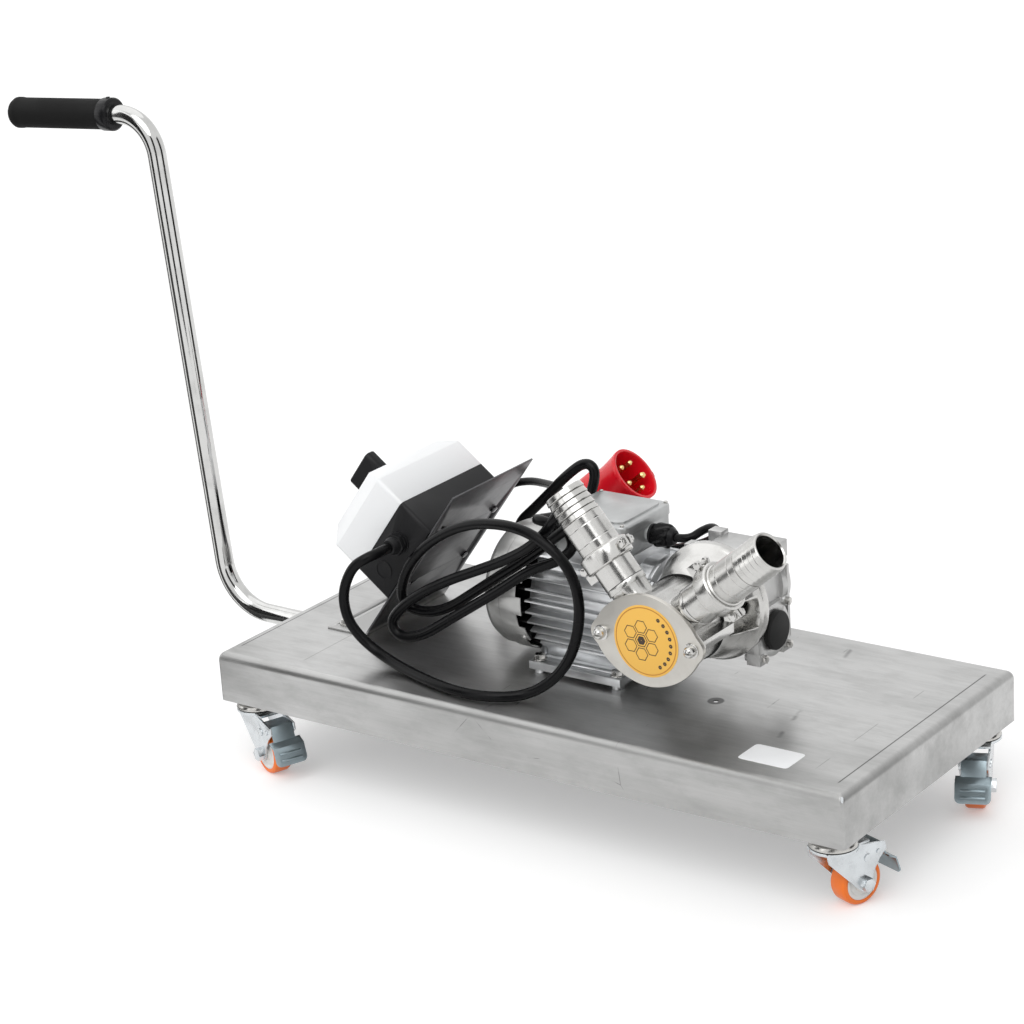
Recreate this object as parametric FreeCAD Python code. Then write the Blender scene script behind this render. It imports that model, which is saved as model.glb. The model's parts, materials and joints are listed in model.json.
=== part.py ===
"""Honey pump on a hand trolley: geared motor, impeller pump head, control box and cables.

Frame while building: X along the deck from its handle end, Y from the front skirt to the back,
Z up from the lower edge of the skirt, all in millimetres. At the end everything is shifted so
that the origin lies on the floor, under the middle of the rigid object.
"""
import FreeCAD
import Part
import math
import os

V = FreeCAD.Vector
X_AXIS = V(1, 0, 0)
Y_AXIS = V(0, 1, 0)
Z_AXIS = V(0, 0, 1)

# Clearances
GAP = 0.3              # between pieces of different bodies
FIT = 0.05             # radial running fit of a pin or shaft in its hole

# Deck: a folded stainless tray, open below
DECK_LENGTH = 800.0
DECK_WIDTH = 360.0
DECK_HEIGHT = 57.5
SHEET = 2.0
DECK_EDGE_R = 9.0      # bend along the top edges
DECK_CORNER_R = 4.0    # ground corner welds
DECK_HOLE = V(566, 142, 0)
DECK_HOLE_R = 3.5
RAIL_X = (104.0, 690.0)
RAIL_WIDTH = 30.0
RAIL_HEIGHT = 24.0
CORNER_PLATE = 62.0
CORNER_PLATE_T = 4.0

# Casters
CASTER_INSET = 29.0
CASTER_HEIGHT = 82.5   # floor to lower edge of skirt
CASTER_TRAIL = 27.0
CASTER_HEADINGS = (("front_left", -21.6), ("front_right", 71.3),
                   ("rear_right", -67.4), ("rear_left", 158.4))
WHEEL_R = 25.0
WHEEL_WIDTH = 22.0
TYRE_T = 5.5
FORK_INNER = 27.0      # between the cheeks
FORK_T = 2.2
HEAD_R = 25.0
STEM_R = 5.0
AXLE_R = 4.0
PAD_WIDTH = 38.0

# Push handle
TUBE_R = 11.0
TUBE_WALL = 1.5
HANDLE_Y = 180.0
HANDLE_Z = 26.0
HANDLE_POINTS = ((-137.8, 26.0), (-188.6, 612.3), (-396.0, 612.3))
HANDLE_LOWER_R = 62.0
HANDLE_UPPER_R = 48.0
HANDLE_DROP = 12.3     # grip end lies this much below the top bend
GRIP_LENGTH = 144.0
COLLAR_WIDTH = 14.0
GRIP_R = 18.2

# Motor
MOTOR_X = 503.0        # shoulder against the gearbox
MOTOR_Y = 180.0
FOOT_GAP = 5.0
SHAFT_HEIGHT = 71.0
FRAME_LENGTH = 156.0
SHIELD_LENGTH = 16.0
FRAME_CORE_R = 56.0
FIN_R = 66.0
FIN_T = 2.4
FIN_COUNT = 32
COWL_R = 70.0
COWL_T = 1.4
COWL_LENGTH = 57.0
COWL_LAP = 12.0        # of the cowl over the fins
COWL_SCREW_ANGLE = 33.75
FOOT_REAR = 16.0       # rear end of the feet, from the frame's rear end
FOOT_FRONT = 22.0      # front end of the feet, from the frame's front end
FOOT_SPAN = 66.0       # motor axis to outer edge of a foot
BOLT_R = 3.4
SHAFT_R = 7.0
REAR_WALL = 8.0
FAN_R = 52.0
FAN_HUB_R = 14.0
FAN_WIDTH = 18.0
FAN_PLACE = 24.0       # its back, from the cowl's rear end

# Terminal box on the motor
TBOX = 94.0
TBOX_X = 372.5
TBOX_LID_T = 13.0
TBOX_TOP = 237.0
TBOX_GLAND_Z = 214.0
GLAND_LENGTH = 29.0

# Gearbox
WORM_OFFSET = 40.0     # pump axis above worm axis
PUMP_X = 573.0
GEAR_WIDTH = 78.0
GEAR_HUB_R = 50.0      # wheel axis to the top of the housing
GEAR_LENGTH = 117.0
WORM_R = 13.0
WORM_CASE_R = 31.5
WHEEL_PITCH_R = 27.0
WHEEL_TEETH = 30       # driven by a worm of four starts
WHEEL_FACE = 16.0
CAP_R = 21.0
FLANGE_R = 52.0         # input flange of the gearbox
FLANGE_T = 6.5
NECK_R = (42.0, 34.0, 30.0)  # radii of the neck behind the flange
NECK_LENGTH = 30.0
CORNER_SPREAD = 36.0    # of the gearbox's corner bosses from the wheel axis
BOSS_HALF = 8.0
BOSS_DEPTH = 14.0
END_SCREW_OFFSET = 24.0  # end-face screws from the worm axis
COVER_SCREW_CIRCLE = 26.0
EAR_BOLT_DEPTH = 30.0
DRUM_R = 44.0
HUB_R = 34.0

# Pump head
COVER_Y = 10.0
COVER_T = 5.0
COVER_R = 50.0
EAR_SPACING = 108.0
EAR_R = 9.0
LABEL_R = 41.0
BODY_R = 45.0
BODY_WALL = 5.0
BODY_LENGTH = 65.0
PORT_Y = 35.0
PORT_R = 20.0
PORT_BORE_R = 16.5
PORT_ANGLES = (-39.5, 50.5)
TAIL_START = 62.0
TAIL_END = 173.0
TAIL_R = 22.0
TAIL_BORE_R = 17.5
BARB_START = 140.0
BARB_COUNT = 5
CLAMP_START = 85.0
CLAMP_WIDTH = 18.0
CLAMP_R = 27.0
LANTERN_R = 63.0
DRIVE_SHAFT_R = 9.0
IMPELLER_R = 38.5

# Bracket and control box
BRACKET_X = 66.6       # edge of the flange on the deck
BRACKET_FOOT_X = 121.0
BRACKET_Y = (114.0, 261.0)
BRACKET_LENGTH = 231.0
BRACKET_ANGLE = 53.0
BOX_LOW = 63.0         # lower side of the box, up the slope
BOX_HEIGHT = 113.0
BOX_Y0 = 112.0
BOX_WIDTH = 150.0
BOX_BASE_T = 48.0
BOX_LID_T = 56.0
GLAND_U = 135.0
GLAND_N = 25.0
BOX_GLAND = 18.0       # length of a gland on the box
SEAT_T = 1.5
KNOB_U = 128.0
KNOB_Y = 165.0

# Cables and plug
CABLE_R = 5.8
MOTOR_CABLE_R = 4.6
CABLE_LEAD = 16.0      # straight length at each gland
PLUG_R = 31.8          # at the mouth
PLUG_WALL = 3.0
PLUG_LENGTH = 118.0
PLUG_DEPTH = 40.0      # of the mouth
PLUG_MOUTH = V(360.7, 313, 224.3)
PLUG_AXIS = V(0.759, 0.12, 0.64)
PIN_RING_R = 17.0
PIN_TURN = 78.0        # angle of the thick pin
PIN_R = 3.0
EARTH_PIN_R = 4.0

# Worked out from the sizes above
DECK_TOP = DECK_HEIGHT
MOTOR_Z = DECK_TOP + FOOT_GAP + SHAFT_HEIGHT
PUMP_Z = MOTOR_Z + WORM_OFFSET
FRAME_X1 = MOTOR_X - SHIELD_LENGTH
FRAME_X0 = FRAME_X1 - FRAME_LENGTH
FOOT_X = (FRAME_X0 + FOOT_REAR, FRAME_X1 - FOOT_FRONT)
GEAR_Y0 = MOTOR_Y - GEAR_WIDTH / 2
GEAR_Y1 = MOTOR_Y + GEAR_WIDTH / 2


# Shape helpers

def block(x0, y0, z0, x1, y1, z1):
    return Part.makeBox(x1 - x0, y1 - y0, z1 - z0, V(x0, y0, z0))


def rod(start, axis, length, radius):
    return Part.makeCylinder(radius, length, start, axis)


def ring(start, axis, length, outer, inner):
    return rod(start, axis, length, outer).cut(rod(start, axis, length, inner))


def union(shapes):
    whole = shapes[0]
    if len(shapes) > 1:
        whole = whole.fuse(shapes[1:])
    return whole.removeSplitter()


def prism(points, travel):
    """Closed outline of straight sides, carried along the vector travel."""
    return Part.Face(Part.makePolygon(points + [points[0]])).extrude(travel)


def turned(profile, start, axis):
    """Solid of revolution: profile is a list of (along, radius), closed onto the axis."""
    points = [V(radius, 0, along) for along, radius in profile]
    face = Part.Face(Part.makePolygon(points + [points[0]]))
    solid = face.revolve(V(0, 0, 0), Z_AXIS, 360)
    solid.Placement = FreeCAD.Placement(start, FreeCAD.Rotation(Z_AXIS, axis))
    return solid


def hexagon(start, axis, across, height):
    """Hexagonal prism, across flats given, standing on start."""
    radius = across / math.sqrt(3)
    corners = [V(radius * math.cos(i * math.pi / 3), radius * math.sin(i * math.pi / 3), 0)
               for i in range(6)]
    solid = prism(corners, V(0, 0, height))
    solid.Placement = FreeCAD.Placement(start, FreeCAD.Rotation(Z_AXIS, axis))
    return solid


def rounded_block(x0, y0, z0, x1, y1, z1, radius, axis):
    """Block whose four edges along the given axis are rounded."""
    solid = block(x0, y0, z0, x1, y1, z1)
    edges = [e for e in solid.Edges if e.tangentAt(e.FirstParameter).cross(axis).Length < 1e-6]
    return solid.makeFillet(radius, edges)


def fillet_where(solid, radius, test):
    """Round the edges whose middle point passes the test."""
    edges = [e for e in solid.Edges if test(e.valueAt((e.FirstParameter + e.LastParameter) / 2), e)]
    return solid.makeFillet(radius, edges)


def along(angle):
    """Radial direction of a pump port, the angle counted from upright towards +X."""
    return V(math.sin(math.radians(angle)), 0, math.cos(math.radians(angle)))


def arc_points(corner, before, after, radius):
    """Start, middle and end of the arc that rounds a corner of a path."""
    back = (before - corner).normalize()
    ahead = (after - corner).normalize()
    half = back.getAngle(ahead) / 2
    reach = radius / math.tan(half)
    bisector = (back + ahead).normalize()
    middle = corner + bisector * (radius / math.sin(half) - radius)
    return corner + back * reach, middle, corner + ahead * reach


def path_wire(points, radii):
    """Straight runs joined by tangent arcs."""
    edges = []
    here = points[0]
    for i in range(1, len(points) - 1):
        start, middle, end = arc_points(points[i], points[i - 1], points[i + 1], radii[i - 1])
        edges.append(Part.LineSegment(here, start).toShape())
        edges.append(Part.Arc(start, middle, end).toShape())
        here = end
    edges.append(Part.LineSegment(here, points[-1]).toShape())
    return Part.Wire(edges)


def pipe(wire, first, second, radius):
    """Solid round tube along a wire that leaves first towards second."""
    section = Part.Wire(Part.makeCircle(radius, first, second - first))
    return wire.makePipeShell([section], True, False)


def cable(name, points, radius):
    """Cord: each arc takes what its two runs leave room for. Prints radii and volume check."""
    radii = []
    for i in range(1, len(points) - 1):
        back = points[i - 1] - points[i]
        ahead = points[i + 1] - points[i]
        turn = math.pi - back.getAngle(ahead)
        radii.append(0.45 * min(back.Length, ahead.Length) / math.tan(turn / 2))
    wire = path_wire(points, radii)
    solid = pipe(wire, points[0], points[1], radius)
    ideal = wire.Length * math.pi * radius ** 2
    print(name, "length", round(wire.Length), "volume ratio", round(solid.Volume / ideal, 4))
    print(name, "radii", [round(r) for r in radii])
    return solid


# Deck

def deck_tray():
    """Folded tray: the bent top sheet and the four skirts welded at its corners."""
    outer = block(0, 0, 0, DECK_LENGTH, DECK_WIDTH, DECK_HEIGHT)
    outer = fillet_where(outer, DECK_CORNER_R, lambda p, e: 0 < p.z < DECK_HEIGHT)
    outer = fillet_where(outer, DECK_EDGE_R, lambda p, e: p.z > DECK_HEIGHT - 0.01)
    inner = block(SHEET, SHEET, -1, DECK_LENGTH - SHEET, DECK_WIDTH - SHEET, DECK_HEIGHT - SHEET)
    inner = fillet_where(inner, DECK_CORNER_R - SHEET, lambda p, e: -1 < p.z < DECK_HEIGHT - SHEET)
    inner = fillet_where(inner, DECK_EDGE_R - SHEET, lambda p, e: p.z > DECK_HEIGHT - SHEET - 0.01)
    tray = outer.cut(inner)
    holes = [rod(V(-1, HANDLE_Y, HANDLE_Z), X_AXIS, 2 * SHEET, TUBE_R + GAP)]
    holes.append(rod(DECK_HOLE, Z_AXIS, DECK_HEIGHT + 1, DECK_HOLE_R))
    for spot in motor_bolt_spots() + bracket_bolt_spots():
        holes.append(rod(V(spot.x, spot.y, 0), Z_AXIS, DECK_HEIGHT + 1, BOLT_R + GAP))
    tray = tray.cut(holes)
    seam = DECK_HEIGHT - DECK_EDGE_R
    rim = DECK_CORNER_R
    zones = [block(0, 0, seam, DECK_LENGTH, DECK_WIDTH, DECK_HEIGHT),
             block(0, 0, 0, DECK_LENGTH, rim, seam),
             block(0, DECK_WIDTH - rim, 0, DECK_LENGTH, DECK_WIDTH, seam),
             block(0, rim, 0, rim, DECK_WIDTH - rim, seam),
             block(DECK_LENGTH - rim, rim, 0, DECK_LENGTH, DECK_WIDTH - rim, seam)]
    return Part.makeCompound([tray.common(zone).Solids[0] for zone in zones])


def rail(x, deep):
    """Top-hat stiffener across the tray, its web below and its flanges against the top sheet."""
    top = DECK_HEIGHT - SHEET
    low = top - deep
    y0 = SHEET
    travel = V(0, DECK_WIDTH - 2 * SHEET, 0)
    flange = 12.0
    left = x
    right = x + RAIL_WIDTH
    outline = [V(left - flange, y0, top), V(left - flange, y0, top - SHEET),
               V(left, y0, top - SHEET), V(left, y0, low), V(right, y0, low),
               V(right, y0, top - SHEET), V(right + flange, y0, top - SHEET),
               V(right + flange, y0, top), V(right - SHEET, y0, top),
               V(right - SHEET, y0, low + SHEET), V(left + SHEET, y0, low + SHEET),
               V(left + SHEET, y0, top)]
    hat = prism(outline, travel)
    corners = block(left - flange - 1, 0, 0, right + flange + 1, DECK_WIDTH, DECK_HEIGHT)
    inner = block(SHEET, SHEET, -1, DECK_LENGTH - SHEET, DECK_WIDTH - SHEET, DECK_HEIGHT - SHEET)
    bend = DECK_EDGE_R - SHEET
    inner = fillet_where(inner, bend, lambda p, e: p.z > DECK_HEIGHT - SHEET - 0.01)
    return hat.common(inner.common(corners))


def corner_plate(x, y):
    """Welded plate in a tray corner, drilled for a caster stem."""
    half = CORNER_PLATE / 2
    middle_x = min(max(x, SHEET + half), DECK_LENGTH - SHEET - half)
    middle_y = min(max(y, SHEET + half), DECK_WIDTH - SHEET - half)
    plate = rounded_block(middle_x - half, middle_y - half, 0, middle_x + half, middle_y + half,
                          CORNER_PLATE_T, DECK_CORNER_R, Z_AXIS)
    return plate.cut(rod(V(x, y, -1), Z_AXIS, CORNER_PLATE_T + 2, STEM_R + GAP))


def under_frame():
    rails = [rail(x, RAIL_HEIGHT) for x in RAIL_X]
    hole = rod(V(RAIL_X[0] - 1, HANDLE_Y, HANDLE_Z), X_AXIS, RAIL_WIDTH + 2, TUBE_R + GAP)
    rails = [r.cut(hole) for r in rails]
    plates = [corner_plate(*caster_spot(name)) for name, _ in CASTER_HEADINGS]
    return Part.makeCompound(rails + plates)


# Casters

def caster_spot(name):
    x = CASTER_INSET if name.endswith("left") else DECK_LENGTH - CASTER_INSET
    y = CASTER_INSET if name.startswith("front") else DECK_WIDTH - CASTER_INSET
    return x, y


def caster_placed(solid, name, heading):
    """Turn a caster piece, modelled trailing along +X from its stem, to its own corner."""
    x, y = caster_spot(name)
    placed = solid.copy()
    placed.rotate(V(0, 0, 0), Z_AXIS, heading)
    placed.translate(V(x, y, 0))
    return placed


WHEEL_Z = WHEEL_R - CASTER_HEIGHT
HEAD_TOP = -4.0
HEAD_T = 6.0
RACE_GAP = 1.2
FORK_TOP = HEAD_TOP - HEAD_T - RACE_GAP
FORK_HALF = FORK_INNER / 2 + FORK_T


def caster_head():
    """Stem with nut, hexagon collar and pressed upper race."""
    nut_z = CORNER_PLATE_T
    stem = rod(V(0, 0, FORK_TOP - FORK_T - 3), Z_AXIS, nut_z + 12 - FORK_TOP + FORK_T + 3, STEM_R)
    collar = hexagon(V(0, 0, HEAD_TOP), Z_AXIS, 17, -HEAD_TOP)
    nut = hexagon(V(0, 0, nut_z), Z_AXIS, 17, 8)
    race = turned([(HEAD_TOP, 0), (HEAD_TOP, HEAD_R - 5), (HEAD_TOP - 2, HEAD_R - 1.5),
                   (HEAD_TOP - HEAD_T, HEAD_R), (HEAD_TOP - HEAD_T, HEAD_R - 2),
                   (HEAD_TOP - HEAD_T + 1.5, 0)], V(0, 0, 0), Z_AXIS)
    foot = rod(V(0, 0, FORK_TOP - FORK_T - 4.5), Z_AXIS, 4.2, STEM_R + 3)
    return union([race, stem, collar, nut, foot])


def cheek_outline(side):
    """One fork cheek seen from the side, from crown to axle eye and brake lug."""
    y = side * FORK_INNER / 2
    low = WHEEL_Z
    top = FORK_TOP - FORK_T
    return [V(-HEAD_R + 4, y, top), V(-HEAD_R + 6, y, top - 9), V(CASTER_TRAIL - 9, y, low - 4),
            V(CASTER_TRAIL - 4, y, low - 8), V(CASTER_TRAIL + 4, y, low - 8),
            V(CASTER_TRAIL + 9, y, low - 3), V(CASTER_TRAIL + 11, y, low + 10),
            V(CASTER_TRAIL + 19, y, low + 22), V(CASTER_TRAIL + 28, y, low + 30),
            V(CASTER_TRAIL + 26, y, low + 38), V(HEAD_R - 4, y, top)]


PEDAL_X = CASTER_TRAIL + 17.0
PEDAL_Z = WHEEL_Z + 30.0


def fork():
    """Pressed fork: dished crown, two cheeks, axle bolt and brake pin, all one swivelling piece."""
    crown = turned([(FORK_TOP, STEM_R + GAP), (FORK_TOP, HEAD_R), (FORK_TOP - 3, HEAD_R),
                    (FORK_TOP - FORK_T - 2, HEAD_R - 3), (FORK_TOP - FORK_T, HEAD_R - 5),
                    (FORK_TOP - FORK_T, STEM_R + GAP)], V(0, 0, 0), Z_AXIS)
    neck = block(-HEAD_R + 4, -FORK_HALF, FORK_TOP - FORK_T, HEAD_R + 8, FORK_HALF, FORK_TOP)
    neck = neck.cut(rod(V(0, 0, FORK_TOP - FORK_T - 1), Z_AXIS, FORK_T + 2, STEM_R + GAP))
    pieces = [crown, neck]
    for side in (-1, 1):
        pieces.append(prism(cheek_outline(side), V(0, side * FORK_T, 0)))
    span = 2 * FORK_HALF
    axle = rod(V(CASTER_TRAIL, -FORK_HALF, WHEEL_Z), Y_AXIS, span, AXLE_R)
    pieces.append(axle)
    pieces.append(hexagon(V(CASTER_TRAIL, FORK_HALF, WHEEL_Z), Y_AXIS, 13, 5.5))
    pieces.append(hexagon(V(CASTER_TRAIL, -FORK_HALF, WHEEL_Z), V(0, -1, 0), 13, 6.5))
    pin = rod(V(PEDAL_X, -FORK_HALF - 1.5, PEDAL_Z), Y_AXIS, span + 3, 2.5)
    pieces.append(pin)
    for side in (-1, 1):
        start = V(CASTER_TRAIL + 3, side * FORK_HALF, WHEEL_Z + 27)
        pieces.append(rod(start, V(0, side, 0), 1.2, 4.5))
    return union(pieces)


def wheel_hub():
    """White hub: rim, web and axle tube."""
    rim = WHEEL_R - TYRE_T
    half = WHEEL_WIDTH / 2
    profile = [(-half - 1.5, AXLE_R + FIT), (-half - 1.5, 9), (-half + 1, 10), (-half + 2, rim - 5),
               (-half + 0.5, rim - 3.5), (-half + 0.5, rim - 0.1), (half - 0.5, rim - 0.1),
               (half - 0.5, rim - 3.5), (half - 2, rim - 5), (half - 1, 10), (half + 1.5, 9),
               (half + 1.5, AXLE_R + FIT)]
    return turned(profile, V(CASTER_TRAIL, 0, WHEEL_Z), Y_AXIS)


def tyre():
    """Polyurethane tread with rounded shoulders."""
    inner = WHEEL_R - TYRE_T
    half = WHEEL_WIDTH / 2
    soft = 3.5
    profile = [(-half, inner), (-half, WHEEL_R - soft), (-half + 1, WHEEL_R - 1.2),
               (-half + soft, WHEEL_R), (half - soft, WHEEL_R), (half - 1, WHEEL_R - 1.2),
               (half, WHEEL_R - soft), (half, inner)]
    return turned(profile, V(CASTER_TRAIL, 0, WHEEL_Z), Y_AXIS)


def brake_pedal():
    """Bent sheet lever: neck and ears on the brake pin, then a wider foot pad with two ribs."""
    half = FORK_INNER / 2 - GAP
    t = 1.6
    x = PEDAL_X
    z = PEDAL_Z
    neck = prism([V(x - 14, -half, z + 8), V(x + 6, -half, z + 8), V(x + 13, -half, z - 8),
                  V(x + 13 - t, -half, z - 9), V(x + 6 - t, -half, z + 8 - t),
                  V(x - 14, -half, z + 8 - t)], V(0, 2 * half, 0))
    wide = PAD_WIDTH / 2
    pad = prism([V(x + 11.5, -wide, z - 7.5), V(x + 21, -wide, z - 12), V(x + 28, -wide, z - 32),
                 V(x + 26.4, -wide, z - 32.4), V(x + 19.8, -wide, z - 13.4),
                 V(x + 11.5, -wide, z - 9.2)], V(0, PAD_WIDTH, 0))
    pad = fillet_where(pad, 6.0, lambda p, e: p.z < z - 31 and e.Length < 2.5)
    pieces = [neck, pad]
    for reach in (0.35, 0.7):
        centre = V(x + 21 + 7 * reach, -wide + 6, z - 12 - 20 * reach)
        pieces.append(rod(centre, Y_AXIS, PAD_WIDTH - 12, 1.3))
    for side in (-1, 1):
        start = side * half - (t if side > 0 else 0)
        pieces.append(prism([V(x - 6, start, z + 7), V(x - 5, start, z - 4), V(x + 5, start, z - 4),
                             V(x + 9, start, z + 1)], V(0, t, 0)))
    shape = union(pieces)
    return shape.cut(rod(V(x, -half - 1, z), Y_AXIS, 2 * half + 2, 2.5 + FIT))


# Push handle

def handle_route():
    """Corners of the tube's centre line, from the inner rail to the grip."""
    (x1, z1), (x2, z2), (x3, z3) = HANDLE_POINTS
    return [V(RAIL_X[0], HANDLE_Y, HANDLE_Z), V(x1, HANDLE_Y, z1), V(x2, HANDLE_Y, z2),
            V(x3, HANDLE_Y, z3 - HANDLE_DROP)]


def handle_wire(points):
    return path_wire(points, [HANDLE_LOWER_R, HANDLE_UPPER_R])


def handle_tube():
    points = handle_route()
    wire = handle_wire(points)
    outer = pipe(wire, points[0], points[1], TUBE_R)
    inner = pipe(wire, points[0], points[1], TUBE_R - TUBE_WALL)
    collar = rod(V(0, HANDLE_Y, HANDLE_Z), V(-1, 0, 0), 5, TUBE_R + 4)
    return outer.fuse(collar).cut(inner)


def grip_frame():
    points = handle_route()
    axis = (points[3] - points[2]).normalize()
    return points[3], axis


def handle_grip():
    """Rubber grip, closed and rounded at its outer end, with an end bead."""
    end, axis = grip_frame()
    start = end - axis * (GRIP_LENGTH - 6)
    profile = [(0, TUBE_R + FIT), (0, GRIP_R - 0.6), (GRIP_LENGTH - 12, GRIP_R - 0.6),
               (GRIP_LENGTH - 11, GRIP_R), (GRIP_LENGTH - 5, GRIP_R), (GRIP_LENGTH - 1.5, GRIP_R - 2),
               (GRIP_LENGTH, GRIP_R - 6), (GRIP_LENGTH, 0), (GRIP_LENGTH - 5.7, 0),
               (GRIP_LENGTH - 5.7, TUBE_R + FIT)]
    return turned(profile, start, axis)


def grip_collar():
    """Clamping collar at the inner end of the grip, with its screw."""
    end, axis = grip_frame()
    start = end - axis * (GRIP_LENGTH - 6 + COLLAR_WIDTH + GAP)
    band = turned([(0, TUBE_R + FIT), (0, GRIP_R - 1), (2, GRIP_R + 0.9),
                   (COLLAR_WIDTH, GRIP_R + 0.9), (COLLAR_WIDTH, TUBE_R + FIT)], start, axis)
    up = V(axis.z, 0, -axis.x)
    screw = rod(start + axis * (COLLAR_WIDTH / 2) + up * (TUBE_R + 2), up, GRIP_R - TUBE_R, 2.4)
    return band.fuse(screw)


# Motor

def motor_bolt_spots():
    spots = []
    for x in (FOOT_X[0] + 9, FOOT_X[1] - 9):
        for side in (-1, 1):
            spots.append(V(x, MOTOR_Y + side * (FOOT_SPAN - 9), DECK_TOP))
    return spots


def motor_frame():
    """Die-cast stator housing with lengthwise fins, interrupted by the box pad and the feet."""
    centre = V(FRAME_X0, MOTOR_Y, MOTOR_Z)
    core = rod(centre, X_AXIS, FRAME_LENGTH, FRAME_CORE_R)
    fins = []
    for i in range(FIN_COUNT):
        angle = 360.0 * (i + 0.5) / FIN_COUNT
        upright = abs((angle + 180) % 360 - 180)
        if upright < 38 or upright > 142:
            continue
        fin = block(FRAME_X0 + 1, MOTOR_Y - FIN_T / 2, MOTOR_Z + FRAME_CORE_R - 3,
                    MOTOR_X - SHIELD_LENGTH - 1, MOTOR_Y + FIN_T / 2, MOTOR_Z + FIN_R)
        fin.rotate(centre, X_AXIS, angle)
        fins.append(fin)
    pad = block(TBOX_X, MOTOR_Y - 38, MOTOR_Z + 30, TBOX_X + TBOX, MOTOR_Y + 38, MOTOR_Z + FIN_R)
    lug = block(FOOT_X[0], MOTOR_Y - 40, MOTOR_Z - SHAFT_HEIGHT + 9, FOOT_X[1], MOTOR_Y + 40,
                MOTOR_Z - 35)
    body = union([core] + fins + cowl_lugs() + [pad, lug])
    bore = rod(V(FRAME_X0 + REAR_WALL, MOTOR_Y, MOTOR_Z), X_AXIS, FRAME_LENGTH, FRAME_CORE_R - 12)
    bearing = rod(V(FRAME_X0 - 1, MOTOR_Y, MOTOR_Z), X_AXIS, REAR_WALL + 2, SHAFT_R + FIT)
    return body.cut([bore, bearing])


def cowl_lugs():
    """Four blocks between the fins that the cowl is screwed to."""
    half = 4.0
    reach = math.sqrt((COWL_R - COWL_T) ** 2 - half ** 2) - FIT
    lugs = []
    for i in range(4):
        lug = block(FRAME_X0 + 1, MOTOR_Y - half, MOTOR_Z + FRAME_CORE_R - 3,
                    FRAME_X0 + COWL_LAP, MOTOR_Y + half, MOTOR_Z + reach)
        lug.rotate(V(FRAME_X0, MOTOR_Y, MOTOR_Z), X_AXIS, 90.0 * i + COWL_SCREW_ANGLE)
        lugs.append(lug)
    return lugs


def motor_foot():
    """Foot plate bolted under the frame, with a rail each side and spacers at the bolts."""
    under = DECK_TOP + FOOT_GAP
    plate = block(FOOT_X[0], MOTOR_Y - FOOT_SPAN, under, FOOT_X[1], MOTOR_Y + FOOT_SPAN, under + 9)
    pieces = [plate]
    for side in (-1, 1):
        y0 = MOTOR_Y + side * (FOOT_SPAN - 24)
        outline = [V(FOOT_X[0], y0, under + 8), V(FOOT_X[0], y0 + side * 7, under + 8),
                   V(FOOT_X[0], y0 - side * 6, under + 22), V(FOOT_X[0], y0 - side * 10, under + 22)]
        for x in (FOOT_X[0], FOOT_X[1] - 6):
            gusset = prism(outline, V(6, 0, 0))
            gusset.translate(V(x - FOOT_X[0], 0, 0))
            pieces.append(gusset)
    body = union(pieces)
    frame = rod(V(FOOT_X[0] - 1, MOTOR_Y, MOTOR_Z), X_AXIS, FOOT_X[1] - FOOT_X[0] + 2, FIN_R + GAP)
    lug = block(FOOT_X[0] - 1, MOTOR_Y - 40 - GAP, under + 9, FOOT_X[1] + 1,
                MOTOR_Y + 40 + GAP, under + 40)
    body = body.cut([frame, lug])
    for spot in motor_bolt_spots():
        spacer = rod(spot, Z_AXIS, FOOT_GAP + 1, 7)
        body = body.fuse(spacer)
    for spot in motor_bolt_spots():
        body = body.cut(rod(spot - Z_AXIS, Z_AXIS, 14 + FOOT_GAP, BOLT_R + GAP))
    return body


def bolt(spot, down, up, head=11.0, thick=5.0, washer=7.5):
    """Hexagon bolt with washer: shank from down below the spot to up above it, nut below."""
    shank = rod(spot - Z_AXIS * down, Z_AXIS, down + up, BOLT_R)
    cap = hexagon(spot + Z_AXIS * (up + 1.4), Z_AXIS, head, thick)
    flat = rod(spot + Z_AXIS * up, Z_AXIS, 1.4, washer)
    nut = hexagon(spot - Z_AXIS * down, Z_AXIS, head, 5.5)
    return union([shank, cap, flat, nut])


def motor_bolts():
    up = FOOT_GAP + 9 + 0.05
    down = SHEET + 5.55
    return Part.makeCompound([bolt(spot, down, up) for spot in motor_bolt_spots()])


def drive_end_shield():
    """Flanged end shield between the frame and the gearbox."""
    profile = [(0, SHAFT_R + FIT), (0, FRAME_CORE_R + 4), (5, FRAME_CORE_R + 4), (7, FRAME_CORE_R - 4),
               (SHIELD_LENGTH - 3, FRAME_CORE_R - 8), (SHIELD_LENGTH, FRAME_CORE_R - 8),
               (SHIELD_LENGTH, SHAFT_R + FIT)]
    body = turned(profile, V(MOTOR_X - SHIELD_LENGTH, MOTOR_Y, MOTOR_Z), X_AXIS)
    for i in range(4):
        angle = math.radians(45 + 90 * i)
        y = MOTOR_Y + (FRAME_CORE_R + 2) * math.cos(angle)
        z = MOTOR_Z + (FRAME_CORE_R + 2) * math.sin(angle)
        body = body.fuse(rod(V(MOTOR_X - SHIELD_LENGTH, y, z), X_AXIS, 7, 6.5))
        body = body.fuse(hexagon(V(MOTOR_X - SHIELD_LENGTH + 7, y, z), X_AXIS, 8, 3.5))
    return body


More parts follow.
